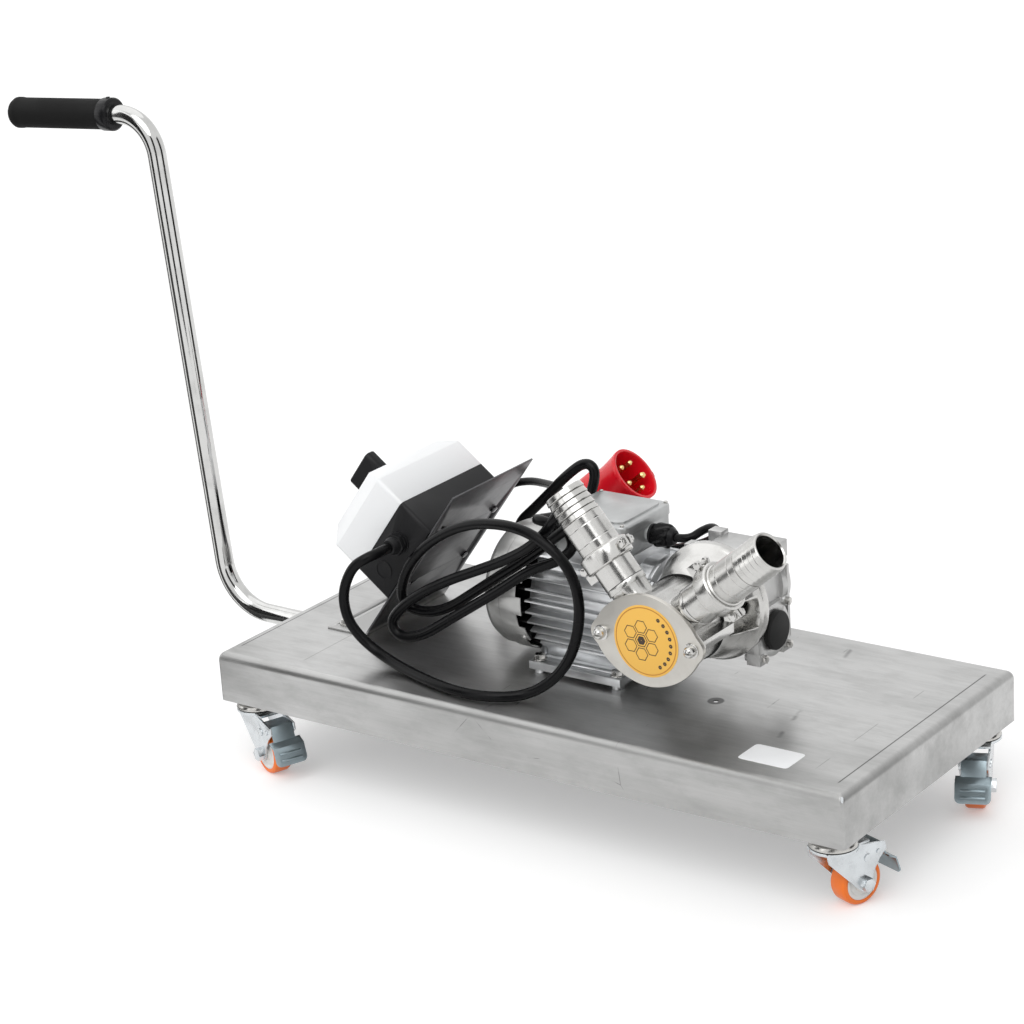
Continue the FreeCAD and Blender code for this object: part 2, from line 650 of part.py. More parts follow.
def fan_cowl():
    """Pressed cowl over the fan: stepped drum, slotted rear face and a notched front rim."""
    x0 = FRAME_X0 - COWL_LENGTH + COWL_LAP
    reach = COWL_LENGTH
    outer = [(0, 0), (0, COWL_R - 20), (2, COWL_R - 12), (7, COWL_R - 5), (14, COWL_R - 1.5),
             (27, COWL_R - 1.5), (28.5, COWL_R), (reach, COWL_R)]
    inner = [(reach, COWL_R - COWL_T), (29.5, COWL_R - COWL_T), (28, COWL_R - 1.5 - COWL_T),
             (14.5, COWL_R - 1.5 - COWL_T), (8, COWL_R - 5 - COWL_T), (3.2, COWL_R - 13),
             (COWL_T, COWL_R - 21), (COWL_T, 0)]
    shell = turned(outer + inner, V(x0, MOTOR_Y, MOTOR_Z), X_AXIS)
    cuts = []
    for radius, count in ((16, 8), (27, 12), (38, 18)):
        for i in range(count):
            slot = block(x0 - 1, MOTOR_Y - 1.6, MOTOR_Z + radius - 4, x0 + 3, MOTOR_Y + 1.6,
                         MOTOR_Z + radius + 4)
            slot.rotate(V(x0, MOTOR_Y, MOTOR_Z), X_AXIS, 360.0 * i / count)
            cuts.append(slot)
    for i in range(12):
        notch = block(x0 + reach - 7, MOTOR_Y - 8, MOTOR_Z + COWL_R - 4, x0 + reach + 1,
                      MOTOR_Y + 8, MOTOR_Z + COWL_R + 2)
        notch.rotate(V(x0, MOTOR_Y, MOTOR_Z), X_AXIS, 30.0 * i + 15)
        if i not in (5, 6):
            cuts.append(notch)
    shell = shell.cut(cuts)
    screws = []
    for i in range(4):
        screw = rod(V(x0 + reach - 5, MOTOR_Y, MOTOR_Z + COWL_R - 1), Z_AXIS, 3.5, 3.0)
        screw.rotate(V(x0, MOTOR_Y, MOTOR_Z), X_AXIS, 90.0 * i + COWL_SCREW_ANGLE)
        screws.append(screw)
    return union([shell] + screws)


def cooling_fan():
    """Radial fan on the rear end of the rotor shaft."""
    x0 = FRAME_X0 - COWL_LENGTH + FAN_PLACE
    inside = FAN_HUB_R - 1
    hub = ring(V(x0, MOTOR_Y, MOTOR_Z), X_AXIS, FAN_WIDTH, FAN_HUB_R, SHAFT_R + 0.02)
    disc = ring(V(x0, MOTOR_Y, MOTOR_Z), X_AXIS, 2.4, FAN_R, inside)
    blades = []
    for i in range(8):
        blade = block(x0 + 2, MOTOR_Y - 1, MOTOR_Z + inside, x0 + FAN_WIDTH - 2, MOTOR_Y + 1,
                      MOTOR_Z + FAN_R)
        blade.rotate(V(x0, MOTOR_Y, MOTOR_Z), X_AXIS, 45.0 * i)
        blades.append(blade)
    return union([hub, disc] + blades)


def terminal_box():
    """Cast box on the motor's pad, tapering slightly upward, with the cable entry to the right."""
    base = MOTOR_Z + FIN_R
    top = TBOX_TOP - TBOX_LID_T
    y0 = MOTOR_Y - TBOX / 2
    body = rounded_block(TBOX_X + 1.5, y0 + 1.5, base, TBOX_X + TBOX - 1.5, y0 + TBOX - 1.5, top, 8,
                         Z_AXIS)
    hollow = rounded_block(TBOX_X + 5, y0 + 5, base + 4, TBOX_X + TBOX - 5, y0 + TBOX - 5, top + 1,
                           5, Z_AXIS)
    boss = rod(V(TBOX_X + TBOX - 3, MOTOR_Y + 3, TBOX_GLAND_Z), X_AXIS, 5, 9.9)
    return body.cut(hollow).fuse(boss)


def terminal_box_lid():
    """Lid with overhanging rim and a raised middle."""
    top = TBOX_TOP
    low = top - TBOX_LID_T
    y0 = MOTOR_Y - TBOX / 2
    body = rounded_block(TBOX_X, y0, low, TBOX_X + TBOX, y0 + TBOX, top - 2, 10, Z_AXIS)
    body = fillet_where(body, 3.0, lambda p, e: p.z > top - 2.01)
    raised = rounded_block(TBOX_X + 8, y0 + 8, top - 3, TBOX_X + TBOX - 8, y0 + TBOX - 8, top, 10,
                           Z_AXIS)
    body = body.fuse(raised)
    hollow = rounded_block(TBOX_X + 5, y0 + 5, low - 1, TBOX_X + TBOX - 5, y0 + TBOX - 5, top - 5,
                           5, Z_AXIS)
    body = body.cut(hollow)
    for spot in lid_screw_spots():
        body = body.cut(rod(spot - Z_AXIS * 6, Z_AXIS, 10, 2.4))
    return body


def lid_screw_spots():
    spots = []
    for x in (TBOX_X + 5.5, TBOX_X + TBOX - 5.5):
        for y in (MOTOR_Y - TBOX / 2 + 5.5, MOTOR_Y + TBOX / 2 - 5.5):
            spots.append(V(x, y, TBOX_TOP - 2))
    return spots


def terminal_box_screws():
    heads = [rod(spot - Z_AXIS * 6, Z_AXIS, 7.5, 2.2) for spot in lid_screw_spots()]
    return Part.makeCompound(heads)


def gland(start, axis):
    """Cable gland: locknut flange, hexagon body and domed nut that ends at the cable."""
    body = turned([(0, 0), (0, 11), (2.5, 11), (2.5, 9), (14, 9), (14, 10.5), (24, 10.5), (28, 8),
                   (GLAND_LENGTH, 7), (GLAND_LENGTH, 0)], start, axis)
    nut = hexagon(start + axis * 4, axis, 20, 7)
    return body.fuse(nut)


# Gearbox

GEAR_X0 = MOTOR_X
GEAR_X1 = MOTOR_X + GEAR_LENGTH
GEAR_TOP = PUMP_Z + GEAR_HUB_R
GEAR_BOTTOM = MOTOR_Z - WORM_CASE_R


def gearbox_housing():
    """Worm gear housing: wheel drum, worm tube, input flange, corner bosses, ribs."""
    drum = rod(V(PUMP_X, GEAR_Y0 + 4, PUMP_Z), Y_AXIS, GEAR_WIDTH - 8, DRUM_R)
    hubs = rod(V(PUMP_X, GEAR_Y0, PUMP_Z), Y_AXIS, GEAR_WIDTH, HUB_R)
    tube = rod(V(GEAR_X0 + 14, MOTOR_Y, MOTOR_Z), X_AXIS, GEAR_LENGTH - 17, WORM_CASE_R - 3)
    flange = rod(V(GEAR_X0, MOTOR_Y, MOTOR_Z), X_AXIS, FLANGE_T, FLANGE_R)
    neck = turned([(6, 0), (6, NECK_R[0]), (20, NECK_R[1]), (NECK_LENGTH, NECK_R[2]), (NECK_LENGTH, 0)],
                  V(GEAR_X0, MOTOR_Y, MOTOR_Z), X_AXIS)
    half = GEAR_WIDTH / 2 - 9
    middle = block(PUMP_X - 44, MOTOR_Y - half, MOTOR_Z - 20, PUMP_X + 42, MOTOR_Y + half, PUMP_Z)
    crown = block(PUMP_X - 38, MOTOR_Y - half, PUMP_Z, PUMP_X + 38, MOTOR_Y + half, GEAR_TOP - 4)
    crown = fillet_where(crown, 14, lambda p, e: p.z > GEAR_TOP - 5 and abs(p.x - PUMP_X) > 37)
    pieces = [drum, hubs, tube, flange, neck, middle, crown]
    for x in (PUMP_X - CORNER_SPREAD + 1, PUMP_X + CORNER_SPREAD):
        for y in (MOTOR_Y - half, MOTOR_Y + half - BOSS_DEPTH):
            pieces.append(block(x - BOSS_HALF, y, GEAR_TOP - 18, x + BOSS_HALF, y + BOSS_DEPTH, GEAR_TOP))
            pieces.append(block(x - BOSS_HALF, y, GEAR_BOTTOM, x + BOSS_HALF, y + BOSS_DEPTH,
                                GEAR_BOTTOM + 22))
    for z in (MOTOR_Z - END_SCREW_OFFSET, MOTOR_Z + END_SCREW_OFFSET):
        for y in (MOTOR_Y - END_SCREW_OFFSET, MOTOR_Y + END_SCREW_OFFSET):
            pieces.append(rod(V(GEAR_X1 - 22, y, z), X_AXIS, 20, 5.5))
    for side in (-1, 1):
        rib = block(GEAR_X1 - 24, MOTOR_Y + side * 30 - 2, MOTOR_Z - 18, GEAR_X1 - 3,
                    MOTOR_Y + side * 30 + 2, PUMP_Z + 22)
        pieces.append(rib)
    body = union(pieces)
    cavity = rod(V(PUMP_X, MOTOR_Y - 17, PUMP_Z), Y_AXIS, 34, 36)
    worm_bore = rod(V(GEAR_X0 - 1, MOTOR_Y, MOTOR_Z), X_AXIS, GEAR_LENGTH - 6, WORM_R + 5)
    shaft_bore = rod(V(PUMP_X, GEAR_Y0 - 1, PUMP_Z), Y_AXIS, GEAR_WIDTH - 8, DRIVE_SHAFT_R + FIT)
    cap_seat = rod(V(GEAR_X1 - 7, MOTOR_Y, MOTOR_Z), X_AXIS, 8, CAP_R)
    recess = block(GEAR_X1 - 8, MOTOR_Y - 20, MOTOR_Z + 28, GEAR_X1 + 1, MOTOR_Y + 20, PUMP_Z + 18)
    return body.cut([cavity, worm_bore, shaft_bore, cap_seat, recess])


def cover_screw(angle, y):
    """Point on the circle of the bearing cover's screws."""
    reach = COVER_SCREW_CIRCLE
    return V(PUMP_X + reach * math.cos(angle), y, PUMP_Z + reach * math.sin(angle))


def gearbox_cover():
    """Bearing cover closing the rear side of the wheel drum."""
    body = turned([(0, 0), (0, HUB_R - 1), (4, HUB_R - 1), (6, HUB_R - 4), (6, 16), (3, 15), (3, 0)],
                  V(PUMP_X, GEAR_Y1, PUMP_Z), Y_AXIS)
    for i in range(4):
        angle = math.radians(45 + 90 * i)
        hole = rod(cover_screw(angle, GEAR_Y1 - 1), Y_AXIS, 9, 2.8)
        body = body.cut(hole)
    return body


def worm_end_cap():
    """Pressed rubber cap over the worm's free end."""
    return turned([(0, 0), (0, CAP_R - 0.05), (9, CAP_R - 0.05), (10.5, CAP_R - 1.5), (10.5, 0)],
                  V(GEAR_X1 - 7, MOTOR_Y, MOTOR_Z), X_AXIS)


def gearbox_bolts():
    """Cover screws, end-face screws and flange nuts of the gearbox."""
    heads = []
    for i in range(4):
        angle = math.radians(45 + 90 * i)
        heads.append(rod(cover_screw(angle, GEAR_Y1 + 0.02), Y_AXIS, 9, 2.7))
    for z in (MOTOR_Z - END_SCREW_OFFSET, MOTOR_Z + END_SCREW_OFFSET):
        for y in (MOTOR_Y - END_SCREW_OFFSET, MOTOR_Y + END_SCREW_OFFSET):
            heads.append(hexagon(V(GEAR_X1 - 1.95, y, z), X_AXIS, 8, 4))
    return Part.makeCompound(heads)


def rotor_shaft():
    """Motor shaft with rotor core and the worm on its driven end."""
    x0 = FRAME_X0 - COWL_LENGTH + 20
    shaft = rod(V(x0, MOTOR_Y, MOTOR_Z), X_AXIS, GEAR_X1 - 10 - x0, SHAFT_R)
    core = rod(V(FRAME_X0 + 26, MOTOR_Y, MOTOR_Z), X_AXIS, FRAME_LENGTH - 52, FRAME_CORE_R - 14)
    worm = rod(V(PUMP_X - 24, MOTOR_Y, MOTOR_Z), X_AXIS, 48, WORM_R - 3)
    return union([shaft, core, worm])


def worm_wheel():
    """Bronze wheel on the pump shaft, in mesh with the worm."""
    start = V(PUMP_X, MOTOR_Y - WHEEL_FACE / 2, PUMP_Z)
    module = 2 * WHEEL_PITCH_R / WHEEL_TEETH
    body = ring(start, Y_AXIS, WHEEL_FACE, WHEEL_PITCH_R + module, DRIVE_SHAFT_R + 0.02)
    root = WHEEL_PITCH_R - 1.25 * module
    half = math.pi * module / 4
    outline = [V(PUMP_X - half * 0.7, start.y - 2, PUMP_Z + root),
               V(PUMP_X + half * 0.7, start.y - 2, PUMP_Z + root),
               V(PUMP_X + half * 1.5, start.y - 2, PUMP_Z + WHEEL_PITCH_R + 2 * module),
               V(PUMP_X - half * 1.5, start.y - 2, PUMP_Z + WHEEL_PITCH_R + 2 * module)]
    gap = prism(outline, V(0, WHEEL_FACE + 4, 0))
    gaps = []
    for i in range(WHEEL_TEETH):
        cut = gap.copy()
        cut.rotate(V(PUMP_X, 0, PUMP_Z), Y_AXIS, 360.0 * i / WHEEL_TEETH)
        gaps.append(cut)
    return body.cut(gaps)


# Pump head

def body_outline(y, length, radius, spacing, ear):
    """Cover outline carried along Y: a disc with two tapering ears on the X axis."""
    disc = rod(V(PUMP_X, y, PUMP_Z), Y_AXIS, length, radius)
    pieces = [disc]
    reach = spacing / 2
    tilt = math.acos((radius - ear) / reach)
    for side in (-1, 1):
        lug = rod(V(PUMP_X + side * reach, y, PUMP_Z), Y_AXIS, length, ear)
        corners = [V(PUMP_X + side * radius * math.cos(tilt), y, PUMP_Z + radius * math.sin(tilt)),
                   V(PUMP_X + side * (reach + ear * math.cos(tilt)), y, PUMP_Z + ear * math.sin(tilt)),
                   V(PUMP_X + side * (reach + ear * math.cos(tilt)), y, PUMP_Z - ear * math.sin(tilt)),
                   V(PUMP_X + side * radius * math.cos(tilt), y, PUMP_Z - radius * math.sin(tilt))]
        pieces += [lug, prism(corners, V(0, length, 0))]
    return union(pieces)


def pump_cover():
    """Flat front cover with two eared bolt holes and a spigot into the body."""
    plate = body_outline(COVER_Y, COVER_T, COVER_R, EAR_SPACING, EAR_R)
    spigot = rod(V(PUMP_X, COVER_Y + COVER_T, PUMP_Z), Y_AXIS, 2, BODY_R - BODY_WALL - 0.1)
    body = plate.fuse(spigot)
    for side in (-1, 1):
        hole = rod(V(PUMP_X + side * EAR_SPACING / 2, COVER_Y - 1, PUMP_Z), Y_AXIS, COVER_T + 2,
                   BOLT_R + GAP)
        body = body.cut(hole)
    return body


def cover_label():
    """Round plate let onto the cover, left plain here."""
    return rod(V(PUMP_X, COVER_Y - 0.6, PUMP_Z), Y_AXIS, 0.6, LABEL_R)


def cover_seal():
    """Flat ring between cover and body."""
    return ring(V(PUMP_X, COVER_Y + COVER_T, PUMP_Z), Y_AXIS, 1.5, BODY_R, BODY_R - BODY_WALL + 0.1)


BODY_Y = COVER_Y + COVER_T + 1.5
LANTERN_Y = BODY_Y + BODY_LENGTH


def port_stub(angle):
    """Radial outlet with its weld ferrule, up to the joint with the hose tail."""
    centre = V(PUMP_X, PORT_Y, PUMP_Z)
    axis = along(angle)
    stub = rod(centre + axis * (BODY_R - 12), axis, TAIL_START - BODY_R + 12, PORT_R)
    lip = rod(centre + axis * (TAIL_START - 6), axis, 6, PORT_R + 1.5)
    return stub.fuse(lip)


def pump_body():
    """Round chamber with two outlets, stud lugs at the sides and a rear wall round the shaft."""
    start = V(PUMP_X, BODY_Y, PUMP_Z)
    drum = rod(start, Y_AXIS, BODY_LENGTH, BODY_R)
    rim = body_outline(BODY_Y, 6, BODY_R + 1, EAR_SPACING, EAR_R - 0.5)
    pieces = [drum, rim] + [port_stub(angle) for angle in PORT_ANGLES]
    for side in (-1, 1):
        x0 = PUMP_X + side * (BODY_R - 3)
        x1 = PUMP_X + side * (EAR_SPACING / 2 + 4)
        low, high = min(x0, x1), max(x0, x1)
        pieces.append(block(low, BODY_Y, PUMP_Z - 5, high, LANTERN_Y, PUMP_Z + 5))
    body = union(pieces)
    chamber = rod(start - Y_AXIS, Y_AXIS, BODY_LENGTH - 19, BODY_R - BODY_WALL)
    cuts = [chamber, rod(start, Y_AXIS, BODY_LENGTH + 1, DRIVE_SHAFT_R + FIT)]
    for angle in PORT_ANGLES:
        centre = V(PUMP_X, PORT_Y, PUMP_Z)
        cuts.append(rod(centre + along(angle) * 20, along(angle), TAIL_START, PORT_BORE_R))
    for side in (-1, 1):
        cuts.append(rod(V(PUMP_X + side * EAR_SPACING / 2, BODY_Y - 1, PUMP_Z), Y_AXIS,
                        EAR_BOLT_DEPTH, BOLT_R + 0.1))
    cuts.append(rod(V(PUMP_X, COVER_Y, PUMP_Z), Y_AXIS, BODY_Y - COVER_Y, COVER_R + GAP))
    return body.cut(cuts)


def cover_nuts():
    """Studs with slotted dome nuts and washers at the cover's ears."""
    nuts = []
    for side in (-1, 1):
        spot = V(PUMP_X + side * EAR_SPACING / 2, COVER_Y, PUMP_Z)
        stud = rod(spot - Y_AXIS * 3, Y_AXIS, 3 + COVER_T + 25, BOLT_R)
        washer = rod(spot - Y_AXIS * 1.55, Y_AXIS, 1.5, 8)
        dome = turned([(1.5, 0), (1.5, 6), (6, 6), (9, 4.5), (10.5, 2), (10.5, 0)], spot, V(0, -1, 0))
        slot = block(spot.x - 7, COVER_Y - 12, spot.z - 1, spot.x + 7, COVER_Y - 7, spot.z + 1)
        nuts.append(union([stud, washer, dome]).cut(slot))
    return Part.makeCompound(nuts)


def pump_lantern():
    """Bell-shaped bearing bracket from the pump body to the gearbox face."""
    reach = GEAR_Y0 - LANTERN_Y - 1.5
    outer = [(0, BODY_R + 0.5), (6, BODY_R + 1), (14, BODY_R + 3), (24, BODY_R + 8),
             (reach - 14, LANTERN_R - 3), (reach - 10, LANTERN_R), (reach, LANTERN_R)]
    inner = [(reach, LANTERN_R - 22), (reach - 12, LANTERN_R - 22), (24, BODY_R - 6),
             (8, BODY_R - 10), (8, DRIVE_SHAFT_R + 8), (0, DRIVE_SHAFT_R + 8)]
    bell = turned(outer + inner, V(PUMP_X, LANTERN_Y + 1.5, PUMP_Z), Y_AXIS)
    windows = []
    for side in (-1, 1):
        x0 = PUMP_X + side * 40
        x1 = PUMP_X + side * (LANTERN_R + 7)
        low, high = min(x0, x1), max(x0, x1)
        windows.append(block(low, LANTERN_Y + 12, PUMP_Z - 16, high, LANTERN_Y + reach - 12, PUMP_Z + 16))
    return bell.cut(windows)


def lantern_ring():
    return ring(V(PUMP_X, LANTERN_Y, PUMP_Z), Y_AXIS, 1.5, BODY_R + 1.5, BODY_R - 8)


def pump_shaft():
    """Stainless drive shaft from the gearbox wheel to the impeller."""
    y0 = BODY_Y + 3
    return rod(V(PUMP_X, y0, PUMP_Z), Y_AXIS, GEAR_Y1 - 10 - y0, DRIVE_SHAFT_R)


def impeller():
    """Flexible impeller: rubber hub with round-tipped vanes."""
    y0 = BODY_Y + 2.0
    length = BODY_LENGTH - 19 - 4.0
    hub = rod(V(PUMP_X, y0, PUMP_Z), Y_AXIS, length, 17)
    pieces = [hub]
    for i in range(6):
        vane = block(PUMP_X - 2.5, y0, PUMP_Z + 12, PUMP_X + 2.5, y0 + length, PUMP_Z + IMPELLER_R - 3.5)
        tip = rod(V(PUMP_X, y0, PUMP_Z + IMPELLER_R - 3.5), Y_AXIS, length, 3.5)
        for part in (vane, tip):
            part.rotate(V(PUMP_X, 0, PUMP_Z), Y_AXIS, 60.0 * i)
            pieces.append(part)
    body = union(pieces)
    return body.cut(rod(V(PUMP_X, y0 - 1, PUMP_Z), Y_AXIS, length + 2, DRIVE_SHAFT_R + 0.02))


def hose_tail(angle):
    """Barbed hose tail: flange under the clamp, plain barrel, then rounded barbs."""
    low = TAIL_START + 0.6
    clamp_end = CLAMP_START + CLAMP_WIDTH
    profile = [(low, TAIL_BORE_R), (low, TAIL_R - 0.4), (CLAMP_START + 1, TAIL_R - 0.4),
               (CLAMP_START + 2, TAIL_R + 1.5), (clamp_end + 0.5, TAIL_R + 1.5),
               (clamp_end + 1.5, TAIL_R), (BARB_START, TAIL_R)]
    pitch = (TAIL_END - BARB_START) / BARB_COUNT
    for i in range(BARB_COUNT):
        y = BARB_START + pitch * i
        profile.append((y + 0.5, TAIL_R - 2))
        profile.append((y + 1.5, TAIL_R))
        profile.append((y + pitch - 0.2, TAIL_R - 1.5))
    profile.append((TAIL_END, TAIL_R - 1.5))
    profile.append((TAIL_END, TAIL_BORE_R + 1))
    profile.append((TAIL_END - 2, TAIL_BORE_R))
    return turned(profile, V(PUMP_X, PORT_Y, PUMP_Z), along(angle))


def port_clamp(angle):
    """Two-piece clamp ring with a bolted lug on either side."""
    centre = V(PUMP_X, PORT_Y, PUMP_Z)
    axis = along(angle)
    across = V(axis.z, 0, -axis.x)
    start = centre + axis * CLAMP_START
    outer = turned([(0, 0), (0, CLAMP_R - 1.5), (1.5, CLAMP_R), (CLAMP_WIDTH - 1.5, CLAMP_R),
                    (CLAMP_WIDTH, CLAMP_R - 1.5), (CLAMP_WIDTH, 0)], start, axis)
    inner = TAIL_R + 1.6
    pieces = [outer]
    for side in (-1, 1):
        base = start + axis * (CLAMP_WIDTH / 2 - 5) + across * (side * (CLAMP_R - 4))
        for step in (-1, 1):
            y0 = 1.0 if step > 0 else -5.5
            lug = Part.makeBox(12, 4.5, 10)
            turn = FreeCAD.Rotation(across * side, Y_AXIS, axis, "XYZ")
            lug.Placement = FreeCAD.Placement(base + Y_AXIS * y0, turn)
            pieces.append(lug)
    body = union(pieces)
    body = body.cut(rod(start - axis, axis, CLAMP_WIDTH + 2, inner))
    screws = []
    for side in (-1, 1):
        spot = start + axis * (CLAMP_WIDTH / 2) + across * (side * (CLAMP_R + 3.5))
        body = body.cut(rod(spot - Y_AXIS * 8, Y_AXIS, 16, 2.3))
        screws.append(rod(spot - Y_AXIS * 9, Y_AXIS, 18, 2.2))
        screws.append(hexagon(spot - Y_AXIS * 5.6, V(0, -1, 0), 7.5, 4))
        screws.append(hexagon(spot + Y_AXIS * 5.6, Y_AXIS, 7.5, 4))
    return union([body] + screws)


# Bracket and control box, in the bracket's own frame: U up the slope, Y across, N outward

SLOPE = math.radians(BRACKET_ANGLE)
ALONG_PLATE = V(math.cos(SLOPE), 0, math.sin(SLOPE))
OFF_PLATE = V(-math.sin(SLOPE), 0, math.cos(SLOPE))
BRACKET_FRAME = FreeCAD.Placement(V(BRACKET_FOOT_X, 0, DECK_TOP),
                                  FreeCAD.Rotation(ALONG_PLATE, Y_AXIS, OFF_PLATE, "XYZ"))


def on_bracket(solid):
    placed = solid.copy()
    placed.Placement = BRACKET_FRAME.multiply(placed.Placement)
    return placed


def bracket_point(u, y, n):
    return BRACKET_FRAME.multVec(V(u, y, n))


def bracket_bolt_spots():
    x = (BRACKET_X + BRACKET_FOOT_X) / 2 - 14
    return [V(x, y, DECK_TOP) for y in (BRACKET_Y[0] + 17, BRACKET_Y[1] - 17)]


def box_bracket():
    """Bent sheet: flange on the deck, plate rising over the motor's tail."""
    y0, y1 = BRACKET_Y
    foot = V(BRACKET_FOOT_X, y0, DECK_TOP)
    top = foot + ALONG_PLATE * BRACKET_LENGTH
    meet = (SHEET - OFF_PLATE.z * SHEET) / ALONG_PLATE.z
    outline = [V(BRACKET_X, y0, DECK_TOP), foot, top, top + OFF_PLATE * SHEET,
               foot + OFF_PLATE * SHEET + ALONG_PLATE * meet,
               V(BRACKET_X, y0, DECK_TOP + SHEET)]
    sheet = prism(outline, V(0, y1 - y0, 0))
    holes = [rod(spot - Z_AXIS, Z_AXIS, SHEET + 2, BOLT_R + GAP) for spot in bracket_bolt_spots()]
    for spot in box_screw_spots():
        holes.append(rod(spot - OFF_PLATE, OFF_PLATE, SHEET + 2, 2.3))
    return sheet.cut(holes)


def box_screw_spots():
    """Where the four screws pass through the plate into the box."""
    spots = []
    for u in (BOX_LOW + 18, BOX_LOW + BOX_HEIGHT - 18):
        for y in (BOX_Y0 + 22, BOX_Y0 + BOX_WIDTH - 22):
            spots.append(bracket_point(u, y, 0))
    return spots


def bracket_screws():
    """Two deck bolts and the four screws that hold the control box."""
    pieces = []
    for spot in bracket_bolt_spots():
        pieces.append(bolt(spot, SHEET + 5.55, SHEET + 0.05, 10.0, 4.5, 7.0))
    for spot in box_screw_spots():
        head = rod(spot - OFF_PLATE * 2.55, OFF_PLATE, 2.5, 4.2)
        shank = rod(spot - OFF_PLATE * 1, OFF_PLATE, SHEET + 3, 2.2)
        pieces.append(union([head, shank]))
    return Part.makeCompound(pieces)


def control_box_base():
    """Open-fronted base moulding against the plate, with gland seats and a blank knock-out."""
    low = SHEET + 0.05
    body = rounded_block(BOX_LOW, BOX_Y0, low, BOX_LOW + BOX_HEIGHT, BOX_Y0 + BOX_WIDTH,
                         BOX_BASE_T, 5, Z_AXIS)
    hollow = block(BOX_LOW + 3, BOX_Y0 + 3, low + 3, BOX_LOW + BOX_HEIGHT - 3,
                   BOX_Y0 + BOX_WIDTH - 3, BOX_BASE_T + 1)
    body = body.cut(hollow)
    for y, way in ((BOX_Y0, -1), (BOX_Y0 + BOX_WIDTH, 1)):
        seat = rod(V(GLAND_U, y - way * 4, GLAND_N), V(0, way, 0), 4 + SEAT_T, 13)
        body = body.fuse(seat)
        body = body.cut(rod(V(GLAND_U, y - way * 5, GLAND_N), V(0, way, 0), 8, 8))
    ridge = ring(V(GLAND_U - 44, BOX_Y0 - 0.8, GLAND_N - 2), Y_AXIS, 1.5, 11, 9.5)
    body = body.fuse(ridge)
    for spot in box_screw_spots():
        local = BRACKET_FRAME.inverse().multVec(spot)
        body = body.cut(rod(V(local.x, local.y, low - 1), Z_AXIS, 3.5, 2.4))
        body = body.fuse(ring(V(local.x, local.y, low + 2.4), Z_AXIS, 6, 4.5, 2.4))
    return on_bracket(body)


def control_box_lid():
    """Deep lid, its front edges chamfered all round, hollow inside."""
    low = BOX_BASE_T + 0.1
    high = BOX_BASE_T + BOX_LID_T
    cut_in = 14.0
    drop = 20.0
    body = block(BOX_LOW, BOX_Y0, low, BOX_LOW + BOX_HEIGHT, BOX_Y0 + BOX_WIDTH, high)
    upright = [e for e in body.Edges if abs(e.tangentAt(0).z) > 0.9]
    body = body.makeFillet(5, upright)
    outline = [V(-1, 0, high - drop), V(cut_in, 0, high + 0.1), V(-1, 0, high + 0.1)]
    side = BOX_WIDTH + 2
    wedge = prism(outline, V(0, side, 0))
    wedge.translate(V(BOX_LOW, BOX_Y0 - 1, 0))
    other = wedge.mirror(V(BOX_LOW + BOX_HEIGHT / 2, 0, 0), X_AXIS)
    across = [V(0, -1, high - drop), V(0, cut_in, high + 0.1), V(0, -1, high + 0.1)]
    third = prism(across, V(BOX_HEIGHT + 2, 0, 0))
    third.translate(V(BOX_LOW - 1, BOX_Y0, 0))
    fourth = third.mirror(V(0, BOX_Y0 + BOX_WIDTH / 2, 0), Y_AXIS)
    body = body.cut([wedge, other, third, fourth])
    hollow = block(BOX_LOW + 15, BOX_Y0 + 15, low - 1, BOX_LOW + BOX_HEIGHT - 15,
                   BOX_Y0 + BOX_WIDTH - 15, high - 4)
    body = body.cut(hollow)
    plinth = ring(V(KNOB_U, KNOB_Y, high - 0.5), Z_AXIS, 2.5, 19, 6.2)
    shaft_hole = rod(V(KNOB_U, KNOB_Y, high - 6), Z_AXIS, 10, 6.2)
    return on_bracket(body.fuse(plinth).cut(shaft_hole))


def switch_knob():
    """Rotary switch handle: round skirt, raised grip bar and its shaft."""
    base = BOX_BASE_T + BOX_LID_T + 2.0 + GAP
    skirt = rod(V(KNOB_U, KNOB_Y, base), Z_AXIS, 6, 17)
    shaft = rod(V(KNOB_U, KNOB_Y, base - 7), Z_AXIS, 8, 6.0)
    bar = rounded_block(KNOB_U - 24, KNOB_Y - 8, base + 3, KNOB_U + 24, KNOB_Y + 8, base + 26, 6,
                        Z_AXIS)
    bar = fillet_where(bar, 2.5, lambda p, e: p.z > base + 25.9)
    return on_bracket(union([skirt, shaft, bar]))


def box_glands():
    """Cable glands in the two short sides of the control box."""
    pieces = []
    for y, way in ((BOX_Y0 - SEAT_T, -1), (BOX_Y0 + BOX_WIDTH + SEAT_T, 1)):
        body = turned([(0, 0), (0, 12), (3, 12), (3, 10), (12, 10), (BOX_GLAND, 8), (BOX_GLAND, 0)],
                      V(GLAND_U, y, GLAND_N), V(0, way, 0))
        nut = hexagon(V(GLAND_U, y + way * 3, GLAND_N), V(0, way, 0), 22, 6)
        tail = rod(V(GLAND_U, y, GLAND_N), V(0, -way, 0), 7, 7.8)
        pieces.append(on_bracket(union([body, nut, tail])))
    return Part.makeCompound(pieces)


# Cables and plug

PLUG_WAY = V(PLUG_AXIS).normalize()
PLUG_REAR = PLUG_MOUTH - PLUG_WAY * PLUG_LENGTH


